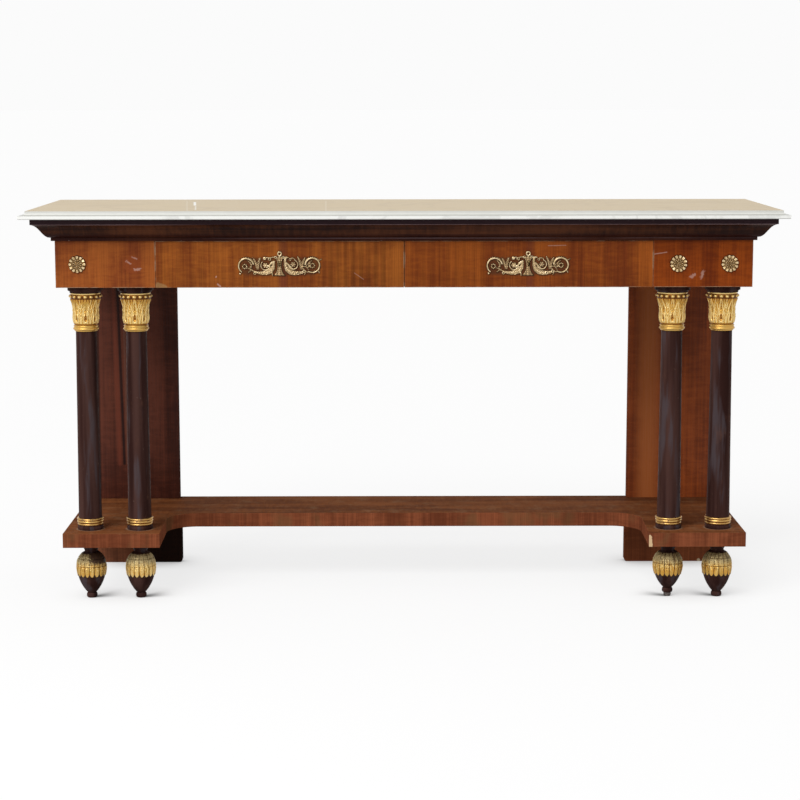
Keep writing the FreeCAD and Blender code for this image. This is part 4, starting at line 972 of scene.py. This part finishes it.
def capital_skin(seed, roll):
    """A plain ring below, carved leaves over it and a row of curls under the top fillet."""
    def skin(turn, share, height):
        wander = wobble(turn, height * 40, 2, seed)
        climb = (height - LEAF_ZONE_LOW) / (LEAF_ZONE_HIGH - LEAF_ZONE_LOW)
        if height > CAPITAL_FILLET:
            return 0.0, 0.95, 0.9
        if climb < 0:
            groove = eased(height, CAPITAL_STEP_TOP, CAPITAL_STEP_TOP + MM)
            return (0.08 * wander - 0.5 * groove) * MM, 0.9 + 0.2 * wander, 0.74 - 0.55 * groove
        bent = turn + roll + 0.02 * wander
        front = from_middle(bent, CAPITAL_LEAVES)
        behind = from_middle(bent, CAPITAL_LEAVES, 0.5)
        curl = from_middle(bent, CAPITAL_CURLS)
        carved = capital_leaves(front, behind, min(climb, 1.0), 0.6 * wander)
        carved *= 1 - eased(climb, 0.84, 0.92)
        flare = CAPITAL_FLARE * eased(climb, 0.45, 0.93) * (1 - eased(climb, 0.93, 1.0))
        shadow = bell(climb - CURL_SHADOW_LEVEL, 0.028)
        knob = bell(curl, 0.24) * bell(climb - CURL_LEVEL, 0.038)
        gap = (1 - bell(curl, 0.30)) * bell(climb - CURL_LEVEL, 0.05)
        carved += CURL_PROUD * knob - CURL_SHADOW_SUNK * shadow - CURL_GAP_SUNK * gap
        foot = eased(climb, 0.0, 0.05)
        # The colour is painted darker as shade under the curls (shadow) and between them (gap), and darker
        # towards the top of the leaves.
        proud = 0.50 + carved / 2.9 + 0.5 * knob - 0.10 * shadow - 0.20 * gap
        proud -= 0.22 * eased(climb, 0.62, 0.9) * (1 - knob)
        proud = limited(proud * foot + 0.2 * (1 - foot))
        cover = 0.92 + 0.15 * wander - 0.1 * shadow * (0.6 + wander)
        return (carved + flare - CAPITAL_SUNK) * foot * MM, cover, proud
    return skin


def add_capitals(material):
    for index, column in enumerate(COLUMN_NAMES):
        carved_turning(
            "leaf_capital_" + column, "capital_" + column,
            capital_skin(index * 7.3, CAPITAL_TURNS[column]),
            CAPITAL_ROWS, CAPITAL_STEPS, CAPITAL_BORE, material,
        )


# --- Leaf collars on the feet ---

COLLAR_LEAVES = 18
COLLAR_ROWS = 84
COLLAR_STEPS = 288
COLLAR_WALL = 2.9 * MM
COLLAR_BORE = 14.0 * MM
COLLAR_AGED_FROM = (74 * MM, 92 * MM)
COLLAR_TIP = 0.13
COLLAR_PROUD = 1.15
COLLAR_SUNK = 0.7
COLLAR_FLATTENED = 0.35
# How much brighter the leaf of each collar is, and the direction in radians where it has worn off.
COLLAR_GILT = {"left_outer": 0.03, "left_inner": 0.16, "right_inner": -0.05, "right_outer": 0.0}
COLLAR_BARE_TURN = {"left_outer": -0.6, "left_inner": 2.2, "right_inner": 1.2, "right_outer": 2.0}


def collar_skin(seed, bare_turn, gilt):
    """Leaves hanging down the egg, finely cut above.

    bare_turn is the direction where leaf is lost, gilt how much brighter than usual the leaf is.
    """
    def skin(turn, share, height):
        wander = wobble(turn, share * 4, 3, seed)
        fine = wobble(turn, share * 9, 9, seed)
        lengthwise = wobble(turn, share * 3.4, 16, seed)
        leaf = from_middle(turn + 0.035 * wander, COLLAR_LEAVES)
        tip_width = 0.5 * math.sqrt(limited(share / COLLAR_TIP))
        inside = 1 - eased(abs(leaf), tip_width - 0.10, tip_width) if tip_width > 0.02 else 0.0
        parting = bell(abs(leaf) - 0.5, 0.050) * (1 - eased(share, 0.20, 0.46))
        crease = bell(leaf, 0.05) * (1 - eased(share, 0.3, 0.5))
        rounding = 0.8 * (leaf / 0.5) ** 2 * (1 - eased(share, 0.3, 0.6))
        lobe = COLLAR_PROUD - rounding - 0.9 * parting - 0.3 * crease
        sway = 0.45 * math.sin(math.tau * (share * 3.2 + 0.4 * wander))
        cut = math.cos(math.tau * (2.0 * leaf + sway + 1.6 * fine))
        strokes = (0.62 * cut + 1.0 * lengthwise) * eased(share, 0.10, 0.44)
        hatch = 0.16 * math.sin(math.tau * (share * 13 + abs(leaf) * 2.4 + 2 * fine))
        relief = lobe * (1 - 0.25 * eased(share, 0.45, 0.8)) + strokes + hatch + 0.25 * wander
        frayed = 1 - eased(share, 0.93 + 0.05 * wander, 1.0)
        lost = eased(math.cos(turn - bare_turn), 0.25, 0.9) * eased(share, 0.30, 0.75)
        cover = (1.0 - 0.10 * eased(share, 0.5, 0.95) + 0.3 * fine - 0.85 * lost) * inside
        proud = limited(0.22 + gilt + 0.46 * relief) * (1 - 0.25 * lost)
        hang = max(-0.5, relief * (1 - lost)) * inside * eased(1 - share, 0.0, 0.03)
        hang *= 1 - COLLAR_FLATTENED * eased(share, 0.25, 0.60)
        return (hang - COLLAR_SUNK) * MM, cover * frayed, proud
    return skin


def add_leaf_collars(material):
    for index, column in enumerate(COLUMN_NAMES):
        node = "leaf_collar_" + column
        inner = turned_outline(node)[0][1] - COLLAR_WALL
        carved_turning(
            "foot_leaves_" + column, node,
            collar_skin(index * 5.1, COLLAR_BARE_TURN[column], COLLAR_GILT[column]),
            COLLAR_ROWS, COLLAR_STEPS, min(inner, COLLAR_BORE), material,
        )


# --- Rosettes ---

ROSETTE_SHIFTS = (("left_outer", -9.5 * MM), ("right_inner", 5.7 * MM), ("right_outer", 7.0 * MM))
ROSETTE_RADIUS = 20.4 * MM
ROSETTE_RINGS = 56
ROSETTE_STEPS = 192
ROSETTE_CORE = 0.015
ROSETTE_PETALS = 12
ROSETTE_BEADS = 16
ROSETTE_LOBES = 6
ROSETTE_TURN = 0.2
# Heights of the rosette in millimetres, and those between which its tone goes from dark to pale.
ROSETTE_GROUND = 1.2
PETAL_PROUD = 3.6
SMALL_PETAL_PROUD = 3.0
BEAD_PROUD = 2.6
LOBE_PROUD = 3.4
BUTTON_PROUD = 3.0
ROSETTE_SHADE = 0.5
ROSETTE_TONES = 2.9


def rosette_height(turn, share):
    """Height in mm over the frieze and how proud the spot is, out from the middle at share 0."""
    petal = from_middle(turn, ROSETTE_PETALS)
    small = from_middle(turn, ROSETTE_PETALS, 0.5)
    bead = from_middle(turn, ROSETTE_BEADS)
    lobe = from_middle(turn, ROSETTE_LOBES)
    height = ROSETTE_GROUND
    outer = (1 - (abs(petal) / 0.5) ** 2.2) * eased(share, 0.50, 0.66) * (1 - eased(share, 0.90, 1.0))
    height += PETAL_PROUD * outer - 0.9 * bell(petal, 0.09) * outer
    inner = (1 - (abs(small) / 0.5) ** 2) * bell(share - 0.44, 0.09)
    height += SMALL_PETAL_PROUD * inner
    height += BEAD_PROUD * bell(share - 0.29, 0.05) * (0.55 + 0.45 * math.cos(math.tau * bead))
    height += LOBE_PROUD * bell(share - 0.15, 0.10) * (0.62 + 0.38 * math.cos(math.tau * lobe))
    height += BUTTON_PROUD * bell(share, 0.06)
    return height, limited((height - ROSETTE_SHADE) / ROSETTE_TONES)


def rosette_edge(turn):
    """The rim's reach, as a share of the rosette's radius."""
    petal = from_middle(turn, ROSETTE_PETALS)
    return 0.88 + 0.12 * math.sqrt(max(0.0, 1 - (abs(petal) / 0.5) ** 2))


def add_rosettes(material):
    """Closed reliefs, from a petalled rim on the frieze in to a small flat core."""
    low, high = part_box("rosettes")
    level = (low.z + high.z) / 2
    for index, (column, shift) in enumerate(ROSETTE_SHIFTS):
        across = middle_of("shaft_" + column).x + shift
        vertices, depth = [], []
        roll = ROSETTE_TURN * index
        for ring in range(ROSETTE_RINGS + 1):
            share = 1 - ring / ROSETTE_RINGS * (1 - ROSETTE_CORE)
            for step in range(ROSETTE_STEPS):
                turn = math.tau * step / ROSETTE_STEPS
                radius = ROSETTE_RADIUS * share * rosette_edge(turn + roll)
                height, proud = rosette_height(turn + roll, share)
                height = 0.0 if ring == 0 else height
                x, z = across + radius * math.cos(turn), level + radius * math.sin(turn)
                vertices.append((x, FRIEZE_PLANE - height * MM, z))
                depth.append(proud)
        faces = ring_faces(ROSETTE_RINGS + 1, ROSETTE_STEPS, closed=False)
        last = ROSETTE_RINGS * ROSETTE_STEPS
        faces.append(tuple(last + step for step in range(ROSETTE_STEPS)))
        faces.append(tuple(reversed(range(ROSETTE_STEPS))))
        piece = add_piece(
            "rosette_%d" % (index + 1), vertices, faces, material, "root", {"depth": depth}
        )
        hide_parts("rosettes")


# --- Scroll mounts ---

CURVE_PARTS = 5
RING_STEP = 12
MOUNT_PITCH = 0.5
MOUNT_EDGE = 1.1
MOUNT_PROUD = 2.4
MOUNT_TOP = 26.0 * MM
MOUNT_SHIFTS = {"left": -0.6, "right": -2.0}
MOUNT_REACH = (-97.0, 98.0)
MOUNT_RISE = (-34.0, 28.0)
NOTCH_PITCH = 4.6
NOTCH_SLANT = 0.9
NOTCH_DEPTH = 1.6
VEIN_PITCH = 3.1
VEIN_DEPTH = 0.55
CREASE_DEPTH = 0.35
FURROW_DEPTH = 0.62
FURROW_PLACE = 0.36
BROAD_BAND = 2.6
VASE_PROUD = 2.1
KEYHOLE_RADIUS = 3.6
KEYHOLE_SLOT = 2.2
KEYHOLE_DROP = 9.1

# Bands of the casting, in millimetres from the keyhole: crest height, notching of the leaf's rim,
# and the points that the band follows, each with its half width.
MOUNT_BANDS = (
    (2.9, 0.22, (
        (21, 10.5, 1.3), (16, 11, 2.2), (12.9, 6, 2.9), (13.0, -3, 3.6), (15.2, -12, 4.9), (20.5, -19.0, 5.9),
        (28.5, -23.2, 6.0), (39, -24.2, 5.0), (50, -22.6, 3.7), (58, -19.5, 2.0),
    )),
    (2.9, 0.22, (
        (-13, 2, 1.8), (-13.0, -4, 3.5), (-15, -12, 5.0), (-20, -19.0, 5.9), (-28, -22.8, 5.8),
        (-38, -24.0, 4.8), (-48, -23.0, 3.4), (-56, -20.5, 1.6),
    )),
    (3.3, 0.10, ((-12.2, 1.6, 2.6), (-17, -0.5, 3.0), (-22.5, -6.5, 2.2), (-28, -11.5, 1.2))),
    (2.6, 0.10, ((13, 0, 2.2), (19, -4, 2.6), (25, -10.5, 1.9), (30, -14, 1.0))),
    (2.4, 0.30, ((48.2, -14, 2.2), (46.2, 0, 3.2), (42.8, 9, 2.2), (40.6, 13.4, 0.9))),
    (2.4, 0.30, ((50.2, -14, 2.2), (52.8, 0, 3.0), (56.0, 7.5, 2.0), (58.2, 11.4, 0.8))),
    (2.4, 0.30, ((-47.8, -14, 2.2), (-46.6, 0, 3.2), (-44.4, 7, 2.2), (-42.6, 10.4, 0.9))),
    (2.4, 0.30, ((-50.2, -14, 2.2), (-53.6, -1, 3.0), (-56.8, 6, 2.0), (-59.2, 9.6, 0.8))),
    (2.2, 0.35, ((66, -11, 1.2), (66.5, -3, 2.2), (70.5, 2.6, 1.4), (75, 4.2, 0.6))),
    (2.2, 0.35, ((-63.5, -13, 1.2), (-64.0, -4, 2.2), (-68.5, 2.0, 1.4), (-73, 3.4, 0.6))),
    (2.2, 0.0, ((-33.0, 9.0, 1.8), (-28.5, 11.2, 1.5), (-24.0, 10.0, 1.3))),
    (2.0, 0.0, ((-21, 10.5, 1.3), (-15, 11.6, 1.5), (-8, 11.6, 1.4))),
    (2.0, 0.0, ((21, 10.5, 1.2), (15, 12.0, 1.5), (8, 11.6, 1.4))),
    (2.2, 0.25, ((24.5, 6.5, 1.2), (28.5, 9.8, 1.8), (33.5, 7.6, 1.6), (38.0, 3.0, 1.1))),
    (2.0, 0.0, ((49, -10.5, 1.4), (56, -9.2, 1.6), (63, -11, 1.3), (69.5, -9, 1.1))),
    (2.0, 0.25, ((59, -10.5, 1.1), (61.5, -6, 1.7), (64.5, -2.5, 0.7))),
    (2.0, 0.25, ((60, -11, 1.1), (64, -14.5, 1.7), (66.5, -18.5, 0.7))),
    (2.2, 0.20, ((52.5, -13, 1.4), (56.5, -18.5, 2.2), (57.5, -24.5, 1.7), (55.5, -28, 0.7))),
    (2.0, 0.0, ((56, -19.5, 1.4), (62, -21.6, 1.4), (68, -21.2, 1.3))),
    (2.2, 0.20, ((-72, -12.5, 1.1), (-65, -15.5, 2.0), (-58, -19.5, 1.9), (-52, -22.5, 1.2))),
    (2.0, 0.25, ((-67, -14, 1.0), (-65, -9.5, 1.6), (-61.5, -6.5, 0.6))),
    (2.0, 0.25, ((-63, -17, 1.0), (-67.5, -20.5, 1.6), (-71, -23.0, 0.6))),
    (2.4, 0.0, ((-16.5, -24, 1.8), (-15.8, -28, 1.4), (-15.4, -31, 0.6))),
    (2.0, 0.25, ((87.5, 4.0, 1.2), (92, 6.0, 1.5), (95.5, 8.4, 0.5))),
    (2.0, 0.0, ((86, -18, 1.2), (89, -21.4, 1.7), (89.6, -24.6, 0.7))),
    (2.2, 0.0, ((0.2, 10, 3.4), (0.4, 14.5, 2.2))),
)
# Rings: middle, radius, first and last angle in degrees, half width at both ends, crest, notching.
MOUNT_RINGS = (
    ((31, -5), 10.4, 70, -165, 1.4, 1.7, 2.4, 0.0),
    ((-31.5, -6.8), 10.2, 130, 345, 1.3, 1.8, 2.4, 0.0),
    ((74, -6.5), 16.2, 172, -118, 2.5, 1.8, 2.5, 0.0),
    ((74, -6.3), 17.2, 145, 40, 3.0, 2.1, 2.2, 0.42),
    ((-75.0, -8.0), 16.8, -128, -345, 1.9, 2.3, 2.5, 0.0),
    ((-75.0, -7.8), 17.6, 130, 30, 2.4, 2.8, 2.3, 0.42),
)
# Bosses: middle, radius, hole, crest, petals.
MOUNT_BOSSES = (
    ((0.4, 19.4), 6.1, 2.0, 2.6, 0),
    ((-8.6, 11.4), 3.5, 1.1, 2.4, 0),
    ((8.6, 11.4), 3.5, 1.1, 2.4, 0),
    ((74.2, -7.2), 7.0, 2.3, 2.8, 8),
    ((-78.0, -9.2), 6.8, 2.2, 2.8, 8),
    ((31, -5), 6.8, 0.0, 2.1, 6),
    ((-31.4, -6.8), 6.9, 0.0, 2.8, 6),
    ((-33.0, 9.2), 4.5, 0.0, 3.1, 0),
    ((-22.2, 7.6), 4.0, 1.3, 2.5, 0),
    ((24.0, 6.2), 3.2, 1.0, 2.0, 0),
    ((41.6, -24.4), 3.5, 1.3, 2.6, 0),
    ((55.4, -20.0), 3.5, 1.3, 2.6, 0),
    ((-55.6, -24.6), 3.4, 1.2, 2.5, 0),
    ((-88.6, -25.2), 2.6, 0.0, 2.6, 0),
)
# The vase in the middle: level and half width.
VASE_OUTLINE = (
    (-31, 13.2), (-28.5, 13.4), (-26, 10.6), (-22, 8.2), (-17, 6.2), (-10, 4.7), (-4, 5.0),
    (2, 6.4), (7, 8.4), (12, 8.6), (13.5, 7.0),
)


def on_curve(share, before, start, end, after):
    """One coordinate on a smooth (Catmull-Rom) curve, at that share of the way from start to end."""
    bend = 2 * before - 5 * start + 4 * end - after
    twist = 3 * start - before - 3 * end + after
    return 0.5 * (2 * start + (end - before) * share + bend * share ** 2 + twist * share ** 3)


def smoothed(points):
    """A finer run of points on a smooth curve through the given ones."""
    padded = (points[0], *points, points[-1])
    run = []
    for nearby in zip(padded, padded[1:], padded[2:], padded[3:]):
        for part in range(CURVE_PARTS):
            run.append(tuple(on_curve(part / CURVE_PARTS, *values) for values in zip(*nearby)))
    run.append(points[-1])
    return run


def ring_points(middle, radius, first, last, first_width, last_width):
    """Points and half widths round an arc between two angles in degrees."""
    count = max(6, int(abs(last - first) / RING_STEP))
    points = []
    for index in range(count + 1):
        share = index / count
        turn = math.radians(first + (last - first) * share)
        points.append((
            middle[0] + radius * math.cos(turn), middle[1] + radius * math.sin(turn),
            first_width + (last_width - first_width) * share,
        ))
    return points


class Casting:
    """A pierced relief over a grid: distance inside its outline and height, in millimetres."""

    def __init__(self):
        self.across = numpy.arange(*MOUNT_REACH, MOUNT_PITCH)
        self.up = numpy.arange(*MOUNT_RISE, MOUNT_PITCH)
        self.u, self.v = numpy.meshgrid(self.across, self.up, indexing="ij")
        self.margin = numpy.full(self.u.shape, -9.0)
        self.height = numpy.zeros(self.u.shape)

    def add(self, margin, height):
        self.margin = numpy.maximum(self.margin, margin)
        self.height = numpy.where(margin > 0, numpy.maximum(self.height, height), self.height)

    def cut(self, inside):
        self.margin = numpy.minimum(self.margin, -inside)

    def band(self, points, crest, notch):
        """A round band along (across, up, half width) points; a broad one is furrowed and veined."""
        run = 0.0
        for (u0, v0, w0), (u1, v1, w1) in zip(points, points[1:]):
            du, dv = u1 - u0, v1 - v0
            step = math.hypot(du, dv)
            share = numpy.clip(((self.u - u0) * du + (self.v - v0) * dv) / step ** 2, 0, 1)
            away = numpy.hypot(self.u - u0 - share * du, self.v - v0 - share * dv)
            along_it = run + share * step
            wave = 0.5 + 0.5 * numpy.cos(math.tau * (along_it - NOTCH_SLANT * away) / NOTCH_PITCH)
            width = (w0 + (w1 - w0) * share) * (1 + notch * (0.5 - wave))
            across = numpy.clip(away / width, 0, 1)
            profile = numpy.sqrt(1 - across ** 2)
            broad = numpy.clip(width - BROAD_BAND, 0, 1)
            furrow = 1 - FURROW_DEPTH * broad * numpy.exp(-((across - FURROW_PLACE) / 0.13) ** 2)
            crease = 1 - (CREASE_DEPTH if notch else 0.0) * (1 - broad) * numpy.exp(-(across / 0.3) ** 2)
            vein = 0.5 + 0.5 * numpy.cos(math.tau * (along_it - away) / VEIN_PITCH)
            height = crest * profile * crease * furrow * (1 - VEIN_DEPTH * broad * across * vein)
            self.add(width - away, height * (1 - NOTCH_DEPTH * notch * wave))
            run += step

    def boss(self, middle, radius, hole, crest, petals):
        away = numpy.hypot(self.u - middle[0], self.v - middle[1])
        turn = numpy.arctan2(self.v - middle[1], self.u - middle[0])
        petal = 0.5 + 0.5 * numpy.cos(petals * turn)
        reach = radius * (0.86 + 0.14 * petal)
        ring = (radius + hole) / 2 if hole or petals else 0.0
        profile = numpy.sqrt(numpy.clip(1 - ((away - ring) / (reach - ring)) ** 2, 0, 1))
        height = crest * profile * (0.45 + 0.55 * petal)
        if petals and not hole:
            height = numpy.maximum(height, crest * numpy.exp(-(away / (0.3 * radius)) ** 2))
        self.add(reach - away, height)

    def vase(self):
        levels = [level for level, _ in VASE_OUTLINE]
        half = numpy.interp(self.v, levels, [width for _, width in VASE_OUTLINE])
        margin = numpy.minimum(half - abs(self.u), numpy.minimum(self.v - levels[0], levels[-1] - self.v))
        flute = 0.86 + 0.14 * numpy.cos(self.u / half * math.pi * 3)
        rim = numpy.clip(margin / 1.3, 0, 1)
        bands = 0.85 + 0.15 * numpy.cos(math.tau * self.v / 4.5)
        swell = numpy.sqrt(numpy.clip(1 - (self.u / (half * 1.25)) ** 2, 0, 1))
        self.add(margin, VASE_PROUD * rim * flute * bands * swell)

    def keyhole(self, aside):
        round_part = KEYHOLE_RADIUS - numpy.hypot(self.u - aside, self.v)
        slot = numpy.minimum(
            KEYHOLE_SLOT - abs(self.u - aside), numpy.minimum(self.v + KEYHOLE_DROP, -self.v)
        )
        self.cut(numpy.maximum(round_part, slot))


def cast_mount(aside):
    """The casting of a mount that sits that far off its keyhole, in millimetres."""
    casting = Casting()
    casting.vase()
    for crest, notch, points in MOUNT_BANDS:
        casting.band(smoothed(points), crest, notch)
    for middle, radius, first, last, first_width, last_width, crest, notch in MOUNT_RINGS:
        casting.band(ring_points(middle, radius, first, last, first_width, last_width), crest, notch)
    for boss in MOUNT_BOSSES:
        casting.boss(*boss)
    for middle, radius, hole, crest, petals in MOUNT_BOSSES:
        if hole:
            casting.cut(hole - numpy.hypot(casting.u - middle[0], casting.v - middle[1]))
    casting.keyhole(-aside)
    return casting


def pierced_relief(casting):
    """Points (across, up, height) and faces: first the relief's front, then its walls and back."""
    points, known = [], {}

    def corner(i, j):
        if (i, j) not in known:
            known[i, j] = len(points)
            points.append((casting.across[i], casting.up[j], MOUNT_EDGE + casting.height[i, j]))
        return known[i, j]

    def crossing(inner, outer):
        key = (*inner, *outer)
        if key not in known:
            share = casting.margin[inner] / (casting.margin[inner] - casting.margin[outer])
            known[key] = len(points)
            points.append((
                casting.across[inner[0]] + (casting.across[outer[0]] - casting.across[inner[0]]) * share,
                casting.up[inner[1]] + (casting.up[outer[1]] - casting.up[inner[1]]) * share,
                MOUNT_EDGE,
            ))
        return known[key]

    fronts, cuts = [], []
    touched = casting.margin > 0
    for i in range(len(casting.across) - 1):
        for j in range(len(casting.up) - 1):
            cell = ((i, j), (i + 1, j), (i + 1, j + 1), (i, j + 1))
            if not any(touched[place] for place in cell):
                continue
            outline = []
            for place, after in zip(cell, cell[1:] + cell[:1]):
                if touched[place]:
                    outline.append((corner(*place), False))
                if touched[place] != touched[after]:
                    inner, outer = (place, after) if touched[place] else (after, place)
                    outline.append((crossing(inner, outer), True))
            fronts.append(tuple(point for point, _ in outline))
            for (first, first_cut), (second, second_cut) in zip(outline, outline[1:] + outline[:1]):
                if first_cut and second_cut:
                    cuts.append((first, second))
    count = len(points)
    points += [(u, v, 0.0) for u, v, _ in points]
    walls = [(second, first, first + count, second + count) for first, second in cuts]
    backs = [tuple(point + count for point in reversed(face)) for face in fronts]
    return points, fronts, walls + backs


def add_scroll_mounts(material):
    for side, aside in MOUNT_SHIFTS.items():
        points, fronts, others = pierced_relief(cast_mount(aside))
        depth = [limited((height - MOUNT_EDGE) / MOUNT_PROUD) for _, _, height in points]
        node = side + "_scroll_mount"
        low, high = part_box(node)
        middle, level = (low.x + high.x) / 2 + aside * MM, high.z - MOUNT_TOP
        vertices = [
            (middle + u * MM, FRIEZE_PLANE - height * MM, level + v * MM) for u, v, height in points
        ]
        piece = add_piece(
            side + "_scroll_casting", vertices, fronts + others, material, side + "_drawer",
            {"depth": depth}, len(fronts),
        )
        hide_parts(node)


# --- Build ---

def each(pattern, names):
    return [pattern % name for name in names]


def finishes():
    """Every painted finish, with the CAD nodes that wear it."""
    left_ribs = ((-190 * MM, -30 * MM, 17 * MM, 0.22), (-560 * MM, -300 * MM, 23 * MM, 0.08))
    right_ribs = ((20 * MM, 200 * MM, 19 * MM, 0.10), (340 * MM, 560 * MM, 14 * MM, 0.10))
    side_wood, _ = mahogany("side_mahogany", Y_GRAIN, (0.215, 0.056, 0.014), (0.090, 0.020, 0.006), 26.0)
    return (
        (marble_finish(), ["marble_top"]),
        (cornice_finish("cornice_lengthwise", X_GRAIN), ["cornice_front"]),
        (cornice_finish("cornice_return", Y_GRAIN), each("cornice_%s", SIDES)),
        (frieze_finish(
            "left_block_mahogany", "end_block_left", LEFT_BLOCK_WOOD, 30.0, (3, 1, 0), LEFT_BLOCK_MARKS,
        ), ["end_block_left"]),
        (frieze_finish(
            "right_block_mahogany", "end_block_right", RIGHT_BLOCK_WOOD, 30.0, (7, 2, 0), RIGHT_BLOCK_MARKS,
        ), ["end_block_right"]),
        (frieze_finish(
            "left_drawer_mahogany", "left_drawer_front", LEFT_DRAWER_WOOD, 24.0, (0, 5, 0),
            LEFT_DRAWER_MARKS, (0.86, 1.14), (1.06, 0.95), left_ribs,
        ), ["left_drawer_front"]),
        (frieze_finish(
            "right_drawer_mahogany", "right_drawer_front", RIGHT_DRAWER_WOOD, 42.0, (5, 3, 0),
            RIGHT_DRAWER_MARKS, (0.83, 1.09), (0.95, 1.07), right_ribs,
        ), ["right_drawer_front"]),
        (left_board_finish(), ["rear_board_left"]),
        (right_board_finish(), ["rear_board_right"]),
        (left_foot_block_finish(), ["rear_foot_left"]),
        (right_foot_block_finish(), ["rear_foot_right"]),
        (side_wood.material, each("side_board_%s", SIDES)),
        (shelf_finish(), ["platform_shelf"]),
        (ebonised_finish(), [
            "abaci", "base_discs", *each("shaft_%s", COLUMN_NAMES), *each("foot_%s", COLUMN_NAMES),
        ]),
        (ring_finish(), each("base_ring_%s", COLUMN_NAMES)),
        (softwood_finish("softwood_lengthwise", X_GRAIN), [
            "back_rail", "top_front_rail", "bottom_front_rail",
            *each("%s_drawer_back", SIDES), *each("%s_drawer_bottom", SIDES),
        ]),
        (softwood_finish("softwood_front_to_back", Y_GRAIN), [
            "drawer_runners", "top_battens", "drawer_divider", *each("%s_drawer_sides", SIDES),
        ]),
        (metal_finish("lock_brass", *BRASS, 0.34), each("%s_lock_case", SIDES)),
        (metal_finish("lock_steel", *STEEL, 0.42), each("%s_lock_bolt", SIDES)),
        (metal_finish("glide_iron", *IRON, 0.5), ["foot_glide"]),
    )


add_camera()
add_lights()
add_world()
add_floor()
for material, nodes in finishes():
    for node in nodes:
        paint(node, material)

bronze = bronze_finish()
add_capitals(gilding_finish("capital_gilding"))
add_leaf_collars(gilding_finish("collar_gilding", COLLAR_AGED_FROM))
add_rosettes(bronze)
add_scroll_mounts(bronze)

bpy.context.scene.view_settings.view_transform = "Standard"
